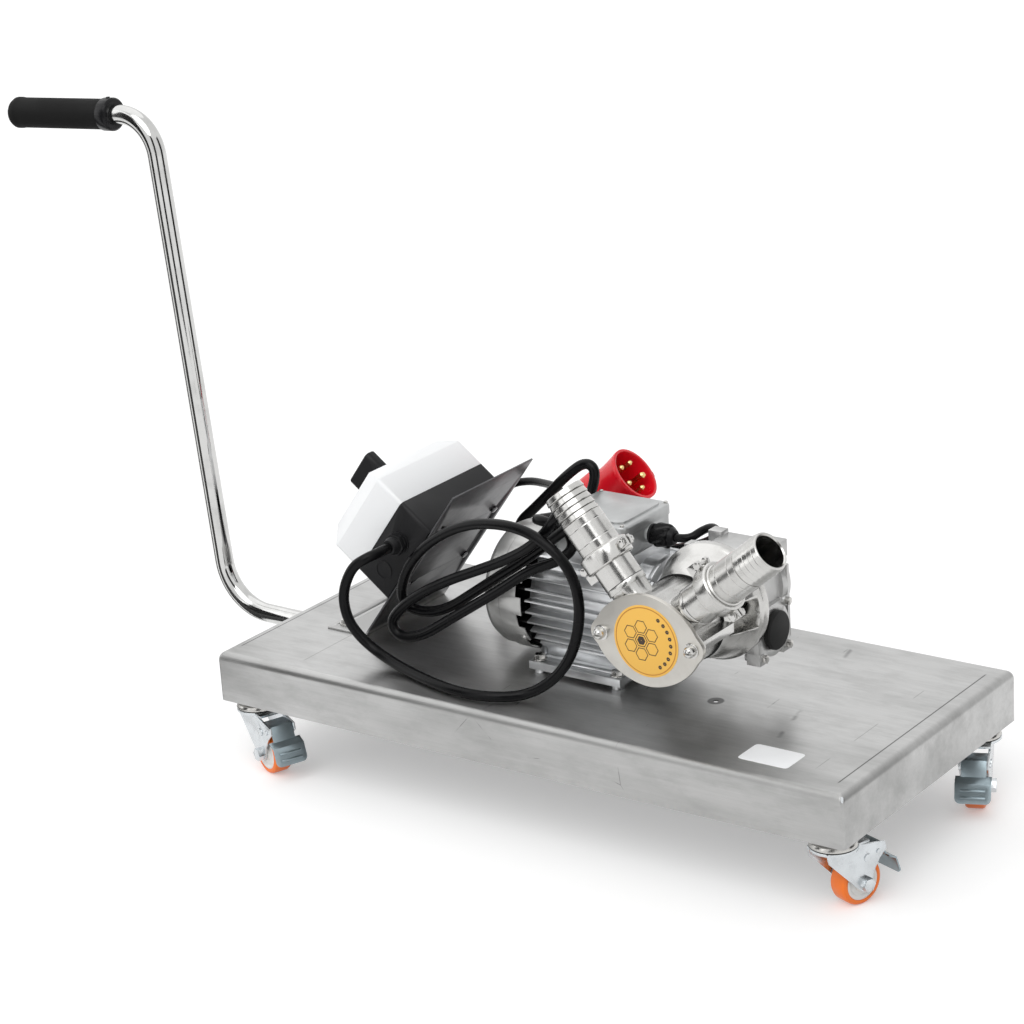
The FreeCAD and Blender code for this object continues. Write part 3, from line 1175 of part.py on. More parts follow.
def supply_points():
    """Supply lead from the box: down, a standing loop, two strands, the arch, then the plug."""
    start = bracket_point(GLAND_U, BOX_Y0 - SEAT_T - BOX_GLAND, GLAND_N)
    chosen = [(176, 60, 178), (159, 55, 166), (145, 53, 135), (150, 51, 108), (164, 52, 89),
              (185, 57, 71), (227, 47, 64), (281, 30, 64), (330, 22, 64), (366, 30, 64),
              (391, 51, 64), (422, 56, 85), (440, 62, 110), (448, 67, 137), (452, 68, 166),
              (449, 67, 195), (434, 66, 219), (410, 66, 235), (380, 68, 243), (344, 73, 241),
              (306, 79, 232), (267, 85, 214), (231, 90, 189), (203, 94, 158), (187, 99, 120),
              (207, 103, 106), (247, 103, 115), (296, 101, 149), (329, 101, 172), (360, 101, 193),
              (392, 101, 218), (435, 103, 252), (441, 88, 268), (424, 74, 263), (409, 79, 242),
              (382, 82, 217), (346, 85, 196), (308, 86, 178), (270, 86, 161), (233, 86, 141),
              (203, 86, 120), (181, 86, 96), (195, 86, 79), (228, 86, 89), (262, 87, 112),
              (305, 87, 140), (341, 88, 164), (375, 89, 189), (409, 96, 202), (419, 111, 214),
              (404, 120, 230), (366, 119, 234), (355, 135, 227), (357, 176, 218), (354, 230, 215),
              (361, 240, 250), (346, 240, 259), (319, 240, 238), (294, 240, 213), (271, 240, 191),
              (248, 243, 171), (235, 241, 126), (212, 240, 101), (201, 265, 91), (212, 290, 99),
              (236, 292, 121)]
    first = start - Y_AXIS * CABLE_LEAD
    last = PLUG_REAR - PLUG_WAY * CABLE_LEAD
    return [start, first] + [V(*p) for p in chosen] + [last, PLUG_REAR]


def motor_points():
    """Motor lead from the terminal box's gland, round behind the motor to the control box."""
    start = V(TBOX_X + TBOX + 2 + GLAND_LENGTH, MOTOR_Y + 3, TBOX_GLAND_Z)
    end = bracket_point(GLAND_U, BOX_Y0 + BOX_WIDTH + SEAT_T + BOX_GLAND, GLAND_N)
    chosen = [(521, 199, 221), (521, 221, 218), (514, 240, 203), (496, 248, 188), (474, 246, 180),
              (438, 252, 168), (398, 256, 160), (362, 257, 168), (330, 259, 186), (300, 263, 203),
              (271, 286, 204), (243, 303, 198), (214, 315, 193), (190, 313, 187)]
    first = start + X_AXIS * CABLE_LEAD
    last = end + Y_AXIS * CABLE_LEAD
    return [start, first] + [V(*p) for p in chosen] + [last, end]


def plug_body():
    """Round industrial plug: cable nut, swelling grip, neck and a shroud round the pins."""
    end = PLUG_LENGTH
    floor = end - PLUG_DEPTH
    inner = PLUG_R - PLUG_WALL
    profile = [(0, 0), (0, 12), (4, 14), (18, 15.5), (22, 19), (30, 25), (48, PLUG_R + 1),
               (56, PLUG_R + 1.7), (74, PLUG_R + 1.7), (80, PLUG_R - 2), (84, PLUG_R - 3),
               (92, PLUG_R - 3), (end - 6, PLUG_R - 0.6), (end - 4, PLUG_R), (end, PLUG_R),
               (end, inner), (end - 24, inner - 2.6), (floor, inner - 2.6), (floor, 0)]
    body = turned(profile, PLUG_REAR, PLUG_WAY)
    tab = Part.makeBox(5, 6, 9, V(PLUG_R - 1, -3, end - 11))
    tab.rotate(V(0, 0, 0), Z_AXIS, PIN_TURN)
    tab.Placement = FreeCAD.Placement(PLUG_REAR, FreeCAD.Rotation(Z_AXIS, PLUG_WAY)).multiply(tab.Placement)
    return body.fuse(tab)


def plug_pins():
    """Five contact pins on a ring, one of them thicker, standing on the mouth's floor."""
    turn = FreeCAD.Rotation(Z_AXIS, PLUG_WAY)
    reach = PLUG_DEPTH - 1.5
    pins = []
    for i in range(5):
        angle = math.radians(72 * i + PIN_TURN)
        radius = EARTH_PIN_R if i == 0 else PIN_R
        start = V(PIN_RING_R * math.cos(angle), PIN_RING_R * math.sin(angle), PLUG_LENGTH - PLUG_DEPTH)
        pin = turned([(0, 0), (0, radius), (reach - 2, radius), (reach, radius - 1.5), (reach, 0)],
                     start, Z_AXIS)
        pin.Placement = FreeCAD.Placement(PLUG_REAR, turn).multiply(pin.Placement)
        pins.append(pin)
    return Part.makeCompound(pins)


# All nodes, by name

def rigid_nodes():
    nodes = {
        "deck_tray": deck_tray(), "under_frame": under_frame(), "handle_tube": handle_tube(),
        "handle_grip": handle_grip(), "grip_collar": grip_collar(), "motor_frame": motor_frame(),
        "motor_foot": motor_foot(), "motor_bolts": motor_bolts(),
        "drive_end_shield": drive_end_shield(), "fan_cowl": fan_cowl(),
        "cooling_fan": cooling_fan(), "rotor_shaft": rotor_shaft(),
        "terminal_box": terminal_box(), "terminal_box_lid": terminal_box_lid(),
        "terminal_box_screws": terminal_box_screws(),
        "gearbox_housing": gearbox_housing(), "gearbox_cover": gearbox_cover(),
        "worm_end_cap": worm_end_cap(), "gearbox_bolts": gearbox_bolts(),
        "worm_wheel": worm_wheel(), "pump_shaft": pump_shaft(), "impeller": impeller(),
        "pump_lantern": pump_lantern(), "pump_body": pump_body(), "pump_cover": pump_cover(),
        "body_seals": Part.makeCompound([cover_seal(), lantern_ring()]),
        "cover_label": cover_label(), "cover_nuts": cover_nuts(),
        "clamp_left": port_clamp(PORT_ANGLES[0]), "clamp_right": port_clamp(PORT_ANGLES[1]),
        "hose_tail_left": hose_tail(PORT_ANGLES[0]),
        "hose_tail_right": hose_tail(PORT_ANGLES[1]),
        "box_bracket": box_bracket(), "bracket_screws": bracket_screws(),
        "control_box_base": control_box_base(), "control_box_lid": control_box_lid(),
        "switch_knob": switch_knob(),
    }
    heads = []
    for name, heading in CASTER_HEADINGS:
        heads.append(caster_placed(caster_head(), name, heading))
        nodes["fork_" + name] = caster_placed(fork(), name, heading)
        nodes["wheel_hub_" + name] = caster_placed(wheel_hub(), name, heading)
        nodes["tyre_" + name] = caster_placed(tyre(), name, heading)
        nodes["brake_pedal_" + name] = caster_placed(brake_pedal(), name, heading)
    nodes["caster_heads"] = Part.makeCompound(heads)
    return nodes


def cord_nodes():
    return {
        "motor_gland": gland(V(TBOX_X + TBOX + 2, MOTOR_Y + 3, TBOX_GLAND_Z), X_AXIS),
        "box_glands": box_glands(),
        "supply_cable": cable("supply_cable", supply_points(), CABLE_R),
        "motor_cable": cable("motor_cable", motor_points(), MOTOR_CABLE_R),
        "plug_body": plug_body(), "plug_pins": plug_pins(),
    }


def export(nodes, shift):
    for name, shape in nodes.items():
        placed = shape.copy()
        placed.translate(shift)
        placed.exportStep("parts/" + name + ".step")


def origin_shift(nodes):
    """Move the floor to zero and the middle of the rigid object's box to X = Y = 0."""
    box = FreeCAD.BoundBox()
    for shape in nodes.values():
        box.add(shape.optimalBoundingBox(True, False))
    return V(-box.Center.x, -box.Center.y, CASTER_HEIGHT)


def main():
    os.makedirs("parts", exist_ok=True)
    rigid = rigid_nodes()
    cords = cord_nodes()
    shift = origin_shift(rigid)
    print("shift", [round(value, 4) for value in shift])
    for name, shape in list(rigid.items()) + list(cords.items()):
        if not shape.isValid():
            print("not valid:", name)
    export(rigid, shift)
    export(cords, shift)
    print("nodes", len(rigid) + len(cords))


main()
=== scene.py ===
"""Looks of the honey pump: finishes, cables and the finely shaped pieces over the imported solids."""
import math

import bpy
import numpy as np
from mathutils import Matrix, Vector
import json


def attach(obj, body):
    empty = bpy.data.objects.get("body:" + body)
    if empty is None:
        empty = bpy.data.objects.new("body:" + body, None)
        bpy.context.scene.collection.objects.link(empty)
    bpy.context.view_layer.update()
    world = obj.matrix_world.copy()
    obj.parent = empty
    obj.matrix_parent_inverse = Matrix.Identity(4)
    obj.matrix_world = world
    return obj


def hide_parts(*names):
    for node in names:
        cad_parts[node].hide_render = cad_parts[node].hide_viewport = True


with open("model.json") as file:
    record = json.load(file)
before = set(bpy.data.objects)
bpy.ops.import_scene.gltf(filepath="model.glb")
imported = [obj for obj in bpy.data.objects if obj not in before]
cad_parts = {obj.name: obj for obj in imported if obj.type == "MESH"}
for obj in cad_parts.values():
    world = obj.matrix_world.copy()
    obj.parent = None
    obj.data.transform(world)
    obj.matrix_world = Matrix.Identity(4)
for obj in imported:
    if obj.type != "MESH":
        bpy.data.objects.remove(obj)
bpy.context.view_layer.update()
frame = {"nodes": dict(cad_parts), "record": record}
NODES = frame["nodes"]
SLOT_OF = {part["node"]: part["material_slot"] for part in frame["record"]["subparts"]}

# Millimetres of the deck's own frame: X along the deck from its handle end, Y from the front skirt,
# Z up from the skirt's lower edge. SHIFT moves them to the row's frame.
SHIFT = np.array((-206.3931, -180.0, 82.5))


def row(points):
    """Points of the deck's frame, in millimetres, as metres of the row's frame."""
    return (np.asarray(points, float) + SHIFT) / 1000.0


def box_of(node):
    """Lowest and highest corner of a CAD node, in metres of the row's frame."""
    corners = np.array(NODES[node].bound_box)
    return corners.min(axis=0), corners.max(axis=0)


TRAY_LOW, TRAY_HIGH = box_of("deck_tray")
DECK_TOP = TRAY_HIGH[2]
COWL_RIM = box_of("fan_cowl")[1][0]


# Camera, at the photograph's place

CAMERA_PLACE = (2165.9, -2298.0, 1305.4)
CAMERA_AZIMUTH = 37.1644
CAMERA_ELEVATION = 19.4016
CAMERA_ROLL = -3.7126
CAMERA_LENS = 106.69
SENSOR_WIDTH = 36.0
CAMERA_CLIP = (0.1, 60.0)


def aim_camera():
    """Back is the way from the object to the lens; right and up are turned by the roll about it."""
    azimuth, elevation, roll = np.radians((CAMERA_AZIMUTH, CAMERA_ELEVATION, CAMERA_ROLL))
    back = Vector((math.sin(azimuth) * math.cos(elevation),
                   -math.cos(azimuth) * math.cos(elevation), math.sin(elevation)))
    level = Vector((0, 0, 1)).cross(back).normalized()
    upright = back.cross(level)
    right = level * math.cos(roll) + upright * math.sin(roll)
    up = upright * math.cos(roll) - level * math.sin(roll)
    lens = bpy.data.cameras.new("photo_lens")
    lens.lens = CAMERA_LENS
    lens.sensor_width = SENSOR_WIDTH
    lens.clip_start, lens.clip_end = CAMERA_CLIP
    camera = bpy.data.objects.new("photo_camera", lens)
    bpy.context.scene.collection.objects.link(camera)
    turn = Matrix((right, up, back)).transposed().to_4x4()
    camera.matrix_world = Matrix.Translation(row(CAMERA_PLACE)) @ turn
    bpy.context.scene.camera = camera


aim_camera()


# Making nodes

def put(tree, kind, settings=(), **values):
    """Add a node. values are inputs by name: a socket is joined, anything else is set."""
    node = tree.nodes.new(kind)
    for name, value in dict(settings).items():
        setattr(node, name, value)
    for name, value in values.items():
        join(tree, value, node.inputs[name.replace("_", " ")])
    return node


def join(tree, value, target):
    """Link a socket to the target, or set the target to a plain value."""
    if isinstance(value, bpy.types.NodeSocket):
        tree.links.new(value, target)
    else:
        target.default_value = value


def calc(tree, operation, *terms):
    """One step of arithmetic on sockets or numbers."""
    node = tree.nodes.new("ShaderNodeMath")
    node.operation = operation
    for target, term in zip(node.inputs, terms):
        join(tree, term, target)
    return node.outputs[0]


def spread(tree, value, low, high, to_low=0.0, to_high=1.0):
    """Carry value from low..high to to_low..to_high along a smooth step."""
    node = tree.nodes.new("ShaderNodeMapRange")
    node.interpolation_type = "SMOOTHSTEP"
    for name, term in zip(("Value", "From Min", "From Max", "To Min", "To Max"),
                          (value, low, high, to_low, to_high)):
        join(tree, term, node.inputs[name])
    return node.outputs["Result"]


# Numbers of a mixing node's inputs for the share and the two colours, and of its colour output:
# it has several of each name, one for each kind of value.
MIX_INPUTS = (0, 6, 7)
MIX_OUTPUT = 2


def blend(tree, share, first, second):
    """Mix two colours."""
    node = tree.nodes.new("ShaderNodeMix")
    node.data_type = "RGBA"
    for number, term in zip(MIX_INPUTS, (share, first, second)):
        join(tree, term, node.inputs[number])
    return node.outputs[MIX_OUTPUT]


def noise(tree, where, scale, detail=3.0, rough=0.55):
    """Cloudy value from 0 to 1."""
    node = put(tree, "ShaderNodeTexNoise", Vector=where, Scale=scale, Detail=detail,
               Roughness=rough)
    return node.outputs["Fac"]


def stretched(tree, where, scale):
    """The place with each axis scaled by its own factor."""
    return put(tree, "ShaderNodeMapping", Vector=where, Scale=scale).outputs["Vector"]


# Share of a painted line's half width that is full strength
LINE_CORE = 0.4


def line_mask(tree, value, place, width):
    """1 within the core of a line's half width from its place and 0 past the half width."""
    away = calc(tree, "ABSOLUTE", calc(tree, "SUBTRACT", value, place))
    return spread(tree, away, width * LINE_CORE, width, 1.0, 0.0)


# Effects that several finishes share

def start_group(name, takes, gives):
    """Node group with named inputs (label, kind, value) and outputs of single numbers."""
    tree = bpy.data.node_groups.new(name, "ShaderNodeTree")
    for label, kind, value in takes:
        entry = tree.interface.new_socket(name=label, in_out="INPUT", socket_type=kind)
        if value is not None:
            entry.default_value = value
    for label in gives:
        tree.interface.new_socket(name=label, in_out="OUTPUT", socket_type="NodeSocketFloat")
    return tree, tree.nodes.new("NodeGroupInput"), tree.nodes.new("NodeGroupOutput")


def make_brushing():
    """Fine parallel lines: noise drawn out along one axis by unequal scales."""
    tree, entry, out = start_group("brushed_lines",
                                   [("Vector", "NodeSocketVector", None),
                                    ("Across", "NodeSocketVector", (40.0, 900.0, 900.0))],
                                   ["Tone", "Height"])
    lines = stretched(tree, entry.outputs["Vector"], entry.outputs["Across"])
    fine = noise(tree, lines, 1.0, 4.0, 0.6)
    broad = noise(tree, lines, 0.22, 2.0, 0.5)
    tone = calc(tree, "ADD", calc(tree, "MULTIPLY", fine, 0.6), calc(tree, "MULTIPLY", broad, 0.4))
    join(tree, tone, out.inputs["Tone"])
    join(tree, fine, out.inputs["Height"])
    return tree


def make_smears():
    """Soft cloudy patches and a few thin scratches, as handling leaves on bare metal."""
    tree, entry, out = start_group("handling_marks",
                                   [("Vector", "NodeSocketVector", None),
                                    ("Patch Size", "NodeSocketFloat", 9.0),
                                    ("Scratch Size", "NodeSocketFloat", 14.0)],
                                   ["Smear", "Scratch"])
    cloud = noise(tree, entry.outputs["Vector"], entry.outputs["Patch Size"], 5.0, 0.62)
    join(tree, spread(tree, cloud, 0.38, 0.68), out.inputs["Smear"])
    thin = stretched(tree, entry.outputs["Vector"], (1.0, 0.06, 1.0))
    node = put(tree, "ShaderNodeTexVoronoi", {"feature": "DISTANCE_TO_EDGE"}, Vector=thin,
               Scale=entry.outputs["Scratch Size"], Randomness=1.0)
    line = spread(tree, node.outputs["Distance"], 0.0, 0.006, 1.0, 0.0)
    gate = spread(tree, noise(tree, entry.outputs["Vector"], 21.0), 0.56, 0.64)
    join(tree, calc(tree, "MULTIPLY", line, gate), out.inputs["Scratch"])
    return tree


def make_casting():
    """Grain of a die-cast or moulded skin."""
    tree, entry, out = start_group("cast_grain",
                                   [("Vector", "NodeSocketVector", None),
                                    ("Grain", "NodeSocketFloat", 900.0)],
                                   ["Tone", "Height"])
    join(tree, noise(tree, entry.outputs["Vector"], 26.0, 3.0, 0.5), out.inputs["Tone"])
    join(tree, noise(tree, entry.outputs["Vector"], entry.outputs["Grain"], 3.0, 0.6),
         out.inputs["Height"])
    return tree


BRUSHED = make_brushing()
SMEARS = make_smears()
CASTING = make_casting()


# Finishes

class Finish:
    """One material: its tree, its shader and the place that its textures go by."""

    def __init__(self, name, colour, metallic, roughness):
        self.material = bpy.data.materials.new(name)
        self.material.use_nodes = True
        self.material.diffuse_color = (*colour, 1.0)
        self.tree = self.material.node_tree
        self.shader = next(n for n in self.tree.nodes if n.type == "BSDF_PRINCIPLED")
        self.colour = (*colour, 1.0)
        self.set(Base_Color=self.colour, Metallic=metallic, Roughness=roughness)
        self.where = put(self.tree, "ShaderNodeTexCoord").outputs["Object"]

    def set(self, **values):
        """Give the shader's inputs their values or sockets."""
        for name, value in values.items():
            join(self.tree, value, self.shader.inputs[name.replace("_", " ")])
        return self

    def use(self, group, **values):
        """Place one of the shared effects, and give its outputs."""
        node = self.tree.nodes.new("ShaderNodeGroup")
        node.node_tree = group
        join(self.tree, self.where, node.inputs["Vector"])
        for name, value in values.items():
            join(self.tree, value, node.inputs[name.replace("_", " ")])
        return node.outputs

    def place(self, axis):
        """One coordinate of the place, in metres of the row's frame."""
        return put(self.tree, "ShaderNodeSeparateXYZ", Vector=self.where).outputs[axis]

    def relief(self, height, strength, distance):
        """Fine unevenness of the skin."""
        bump = put(self.tree, "ShaderNodeBump", Height=height, Strength=strength,
                   Distance=distance)
        return self.set(Normal=bump.outputs["Normal"])

    def tint(self, share, second, most=1.0):
        """Carry the colour to the second one as share grows, by no more than most."""
        if most < 1.0:
            share = calc(self.tree, "MULTIPLY", share, most)
        current = self.shader.inputs["Base Color"]
        first = current.links[0].from_socket if current.is_linked else self.colour
        return self.set(Base_Color=blend(self.tree, share, first, (*second, 1.0)))


# Heights of the skins' fine unevenness, in metres, and how dark a casting's clouds are
CAST_RELIEF = 0.0004
MOULDED_RELIEF = 0.0003
SHEET_RELIEF = 0.0002
BRACKET_RELIEF = 0.0003
CLOUD_SHADE = 0.8


def cast_metal(name, colour, roughness, grain=900.0, metallic=0.9, depth=0.25):
    """Grainy metal skin with darker clouds."""
    finish = Finish(name, colour, metallic, roughness)
    skin = finish.use(CASTING, Grain=grain)
    finish.tint(spread(finish.tree, skin["Tone"], 0.35, 0.7), tuple(CLOUD_SHADE * c for c in colour))
    return finish.relief(skin["Height"], depth, CAST_RELIEF)


def moulded(name, colour, roughness, grain=1400.0, depth=0.12, gloss=0.5):
    """Plastic or rubber; gloss is its specular level."""
    finish = Finish(name, colour, 0.0, roughness)
    finish.set(Specular_IOR_Level=gloss)
    skin = finish.use(CASTING, Grain=grain)
    finish.set(Roughness=spread(finish.tree, skin["Tone"], 0.3, 0.7, roughness - 0.04,
                                roughness + 0.06))
    return finish.relief(skin["Height"], depth, MOULDED_RELIEF)


def polished(name, colour, roughness, dark, smear=0.35):
    """Bright metal with cloudy marks and a few thin scratches."""
    finish = Finish(name, colour, 1.0, roughness)
    marks = finish.use(SMEARS, Patch_Size=28.0, Scratch_Size=40.0)
    finish.tint(marks["Smear"], dark, smear)
    clouded = spread(finish.tree, marks["Smear"], 0.0, 1.0, roughness, roughness + 0.08)
    scratched = calc(finish.tree, "MULTIPLY", marks["Scratch"], 0.12)
    return finish.set(Roughness=calc(finish.tree, "ADD", clouded, scratched))


# Places on the tray, in metres: the bend below the deck's face, where painted shade dims the bend's
# highlight; the weld lines of the folded ends, each as its place along X, its half width and its
# strength; how far they stay off the long edges; and the rings between which the painted shade round
# and in the open hole fades.
BEND_SHADE_MIDDLE = 0.0038
BEND_SHADE_WIDTH = 0.0040
WELDS = (
    (TRAY_HIGH[0] - 0.0205, 0.0011, 1.0),
    (TRAY_LOW[0] + 0.0130, 0.0010, 1.0),
    (TRAY_LOW[0] + 0.1040, 0.0008, 0.5),
)
WELD_MARGIN = (0.030, 0.024)
HOLE_SHADE_RINGS = (0.0076, 0.0102)
DECK_HOLE = row((566.0, 142.0, 57.0))


def deck_sheet():
    """Ground stainless sheet: drawn lines along X, long handling marks, and painted shade on the
    bend below its face and round the open hole.
    """
    finish = Finish("deck_sheet", (0.56, 0.56, 0.555), 1.0, 0.34)
    tree = finish.tree
    lines = finish.use(BRUSHED, Across=(14.0, 1100.0, 1100.0))
    long_way = stretched(tree, finish.where, (0.35, 1.0, 1.0))
    broad = spread(tree, noise(tree, long_way, 8.0, 4.0, 0.6), 0.34, 0.68)
    small = spread(tree, noise(tree, long_way, 46.0, 5.0, 0.7), 0.40, 0.72)
    marks = finish.use(SMEARS, Patch_Size=34.0, Scratch_Size=9.0)
    finish.tint(spread(tree, lines["Tone"], 0.3, 0.7, 0.22, 0.0), (0.25, 0.25, 0.25))
    finish.tint(broad, (0.31, 0.31, 0.305), 0.50)
    finish.tint(small, (0.27, 0.27, 0.265), 0.34)
    finish.tint(marks["Scratch"], (0.12, 0.12, 0.12), 0.6)
    finish.tint(weld_lines(finish), (0.05, 0.05, 0.05), 0.85)
    # Painted shade over the bend below the deck's face, dimming its highlight
    finish.tint(line_mask(tree, finish.place("Z"), DECK_TOP - BEND_SHADE_MIDDLE, BEND_SHADE_WIDTH),
                (0.28, 0.28, 0.275), 0.40)
    # Painted shade round the open hole and down its wall, where the hole is dark
    finish.tint(hole_shade(finish), (0.03, 0.03, 0.03), 0.8)
    finish.set(Roughness=spread(tree, broad, 0.0, 1.0, 0.30, 0.42))
    return finish.relief(lines["Height"], 0.10, SHEET_RELIEF)


def weld_lines(finish):
    """Mask of the weld lines across the deck, on its top face and short of its long edges."""
    tree = finish.tree
    along = finish.place("X")
    lines = 0.0
    for place, width, strength in WELDS:
        line = calc(tree, "MULTIPLY", line_mask(tree, along, place, width), strength)
        lines = calc(tree, "MAXIMUM", lines, line)
    on_top = spread(tree, finish.place("Z"), DECK_TOP - 0.0015, DECK_TOP - 0.0005)
    edge_from, edge_to = (TRAY_HIGH[1] - margin for margin in WELD_MARGIN)
    inside = spread(tree, calc(tree, "ABSOLUTE", finish.place("Y")), edge_from, edge_to, 1.0, 0.0)
    return calc(tree, "MULTIPLY", calc(tree, "MULTIPLY", lines, on_top), inside)


def hole_shade(finish):
    """Mask of the painted shade round and in the hole, by the distance from it."""
    away = put(finish.tree, "ShaderNodeVectorMath", {"operation": "DISTANCE"})
    join(finish.tree, finish.where, away.inputs[0])
    join(finish.tree, tuple(DECK_HOLE), away.inputs[1])
    return spread(finish.tree, away.outputs["Value"], *HOLE_SHADE_RINGS, 1.0, 0.0)


# Heights above the deck's face, in metres, where the bracket's bright foot turns to the painted dark
# reflection of the plate above it, and between which its plated screws take on that painted dark
# reflection too.
FOOT_TO_REFLECTION_FADES = (0.0035, 0.0100)
REFLECTION_DARK_STARTS = (0.030, 0.035)


def dark_reflection_bracket():
    """Drawn sheet with cloudy marks, painted dark above its foot as the dark reflection that the
    upright plate shows; the foot, flat on the deck, keeps the steel's brighter grey.
    """
    dark = (0.07, 0.07, 0.075)
    # The sheet's colour is a painted dark reflection; the steel's own grey is the foot's
    finish = Finish("dark_reflection_bracket", (0.15, 0.15, 0.155), 1.0, 0.36)
    lines = finish.use(BRUSHED, Across=(500.0, 30.0, 500.0))
    marks = finish.use(SMEARS)
    finish.tint(spread(finish.tree, lines["Tone"], 0.3, 0.7, 0.45, 0.0), dark)
    finish.tint(marks["Smear"], dark, 0.3)
    finish.set(Roughness=spread(finish.tree, marks["Smear"], 0.0, 1.0, 0.36, 0.50))
    low, high = (DECK_TOP + height for height in FOOT_TO_REFLECTION_FADES)
    foot = spread(finish.tree, finish.place("Z"), low, high, 1.0, 0.0)
    finish.tint(foot, (0.46, 0.46, 0.455))
    return finish.relief(lines["Height"], 0.12, BRACKET_RELIEF)


def reflection_dark_heads():
    """Plated screw, darkened above the deck by the same painted dark reflection as the plate it sits
    on.
    """
    finish = polished("screw_plating", (0.56, 0.55, 0.53), 0.25, (0.32, 0.32, 0.31))
    low, high = (DECK_TOP + height for height in REFLECTION_DARK_STARTS)
    # Painted dark reflection above the deck, matching the plate's
    return finish.tint(spread(finish.tree, finish.place("Z"), low, high), (0.13, 0.13, 0.135))


# The motor: its grey, how far past the cowl's rim the fins carry painted black shade for the gap,
# and how far before the rim the cowl's dome is pressed on, in metres.
MOTOR_GREY = (0.64, 0.65, 0.66)
GAP_SHADE_FADES = (0.0026, 0.0034)
COWL_STEP = 0.0292


def gap_shaded_frame():
    """Motor casting with painted black shade in the gap between the cowl's rim and the fins' lit
    ends.
    """
    finish = cast_metal("motor_frame_casting", MOTOR_GREY, 0.31)
    low, high = (COWL_RIM + width for width in GAP_SHADE_FADES)
    gap = spread(finish.tree, finish.place("X"), low, high, 1.0, 0.0)
    # Painted shade in the gap behind the cowl's rim
    return finish.tint(gap, (0.018, 0.018, 0.018))


def cowl_with_shaded_step():
    """Satin cowl with a line of painted shade round it in the step where its dome is pressed on."""
    finish = cast_metal("cowl_pressing", (0.50, 0.50, 0.49), 0.32, 1800.0, 0.7, 0.1)
    step_shade = line_mask(finish.tree, finish.place("X"), COWL_RIM - COWL_STEP, 0.0010)
    # Painted shade in the groove at the dome's step
    return finish.tint(step_shade, (0.03, 0.03, 0.03), 0.8)


FINISHES = {
    "deck_steel": deck_sheet(),
    "tube_chrome": polished("handle_plating", (0.62, 0.62, 0.61), 0.06, (0.34, 0.34, 0.34), 0.3),
    "grip_black": moulded("grip_rubber", (0.008, 0.008, 0.008), 0.62, 700.0, 0.5, 0.15),
    "collar_black": moulded("collar_moulding", (0.008, 0.008, 0.009), 0.28, 1400.0, 0.05, 0.2),
    "motor_cast": cast_metal("motor_casting", MOTOR_GREY, 0.31),
    "bolt_zinc": polished("bolt_plating", (0.56, 0.55, 0.53), 0.2, (0.32, 0.32, 0.31)),
    "cowl_satin": cowl_with_shaded_step(),
    "fan_plastic": moulded("fan_moulding", (0.03, 0.03, 0.03), 0.5),
    "shaft_steel": polished("shaft_ground", (0.60, 0.60, 0.60), 0.25, (0.40, 0.40, 0.40)),
    "box_grey": cast_metal("terminal_box_skin", (0.52, 0.53, 0.53), 0.33, 1500.0, 0.6, 0.15),
    "gear_cast": cast_metal("gearbox_casting", (0.55, 0.55, 0.545), 0.36, 800.0, 0.85, 0.35),
    "seal_black": moulded("seal_rubber", (0.010, 0.010, 0.010), 0.5, 1400.0, 0.12, 0.2),
    "gear_bronze": cast_metal("wheel_bronze", (0.60, 0.40, 0.16), 0.3),
    "pump_polished": polished("pump_polish", (0.60, 0.595, 0.58), 0.20, (0.32, 0.315, 0.30), 0.32),
    "cover_satin": polished("cover_satin", (0.56, 0.545, 0.51), 0.34, (0.46, 0.44, 0.41)),
    "label_amber": moulded("label_film", (0.86, 0.50, 0.10), 0.42, 1400.0, 0.04, 0.3),
    "bracket_steel": dark_reflection_bracket(),
    "box_black": moulded("box_black", (0.012, 0.012, 0.013), 0.40, 1400.0, 0.12, 0.2),
    "box_white": moulded("box_white", (0.91, 0.92, 0.93), 0.36),
    "cable_black": moulded("cable_sheath", (0.0045, 0.0045, 0.005), 0.25, 1400.0, 0.08, 0.13),
    "plug_red": moulded("plug_red", (0.76, 0.006, 0.018), 0.24, 1400.0, 0.05),
    "pin_brass": polished("pin_brass", (0.80, 0.58, 0.26), 0.2, (0.5, 0.34, 0.14)),
    "caster_zinc": polished("caster_plating", (0.66, 0.69, 0.71), 0.22, (0.40, 0.42, 0.43)),
    "hub_white": moulded("hub_white", (0.78, 0.78, 0.76), 0.4),
    "tyre_orange": moulded("tread_orange", (0.93, 0.19, 0.012), 0.34),
    "pedal_grey": polished("pedal_plating", (0.34, 0.41, 0.44), 0.30, (0.19, 0.23, 0.25)),
}
# Nodes whose finish isn't their slot's own
OWN_FINISH = {"bracket_screws": reflection_dark_heads(), "motor_frame": gap_shaded_frame()}


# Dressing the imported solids

# Corners of a solid's triangles closer than MERGE_WITHIN are one; its edges are rounded by
# EDGE_ROUND, both in metres. An edge is sharp from EDGE_ANGLE on, or from FOLD_ANGLE on the tray.
MERGE_WITHIN = 0.000005
EDGE_ROUND = 0.0004
EDGE_ANGLE = math.radians(32)
FOLD_ANGLE = math.radians(25)


def dress(piece, slot, finish=None):
    """Give a piece the finish of one of the record's slots, or a finish of its own."""
    piece.data.materials.clear()
    piece.data.materials.append((finish or FINISHES[slot]).material)


def merged(piece):
    """Merge the loose triangles of a solid and shade it smooth."""
    piece.data.polygons.foreach_set("use_smooth", [True] * len(piece.data.polygons))
    piece.modifiers.new("merge", "WELD").merge_threshold = MERGE_WITHIN


def soften(piece):
    """Round the sharp edges a little."""
    merged(piece)
    edge = piece.modifiers.new("edge", "BEVEL")
    edge.width = EDGE_ROUND
    edge.segments = 2
    edge.limit_method = "ANGLE"
    edge.angle_limit = EDGE_ANGLE
    edge.harden_normals = True


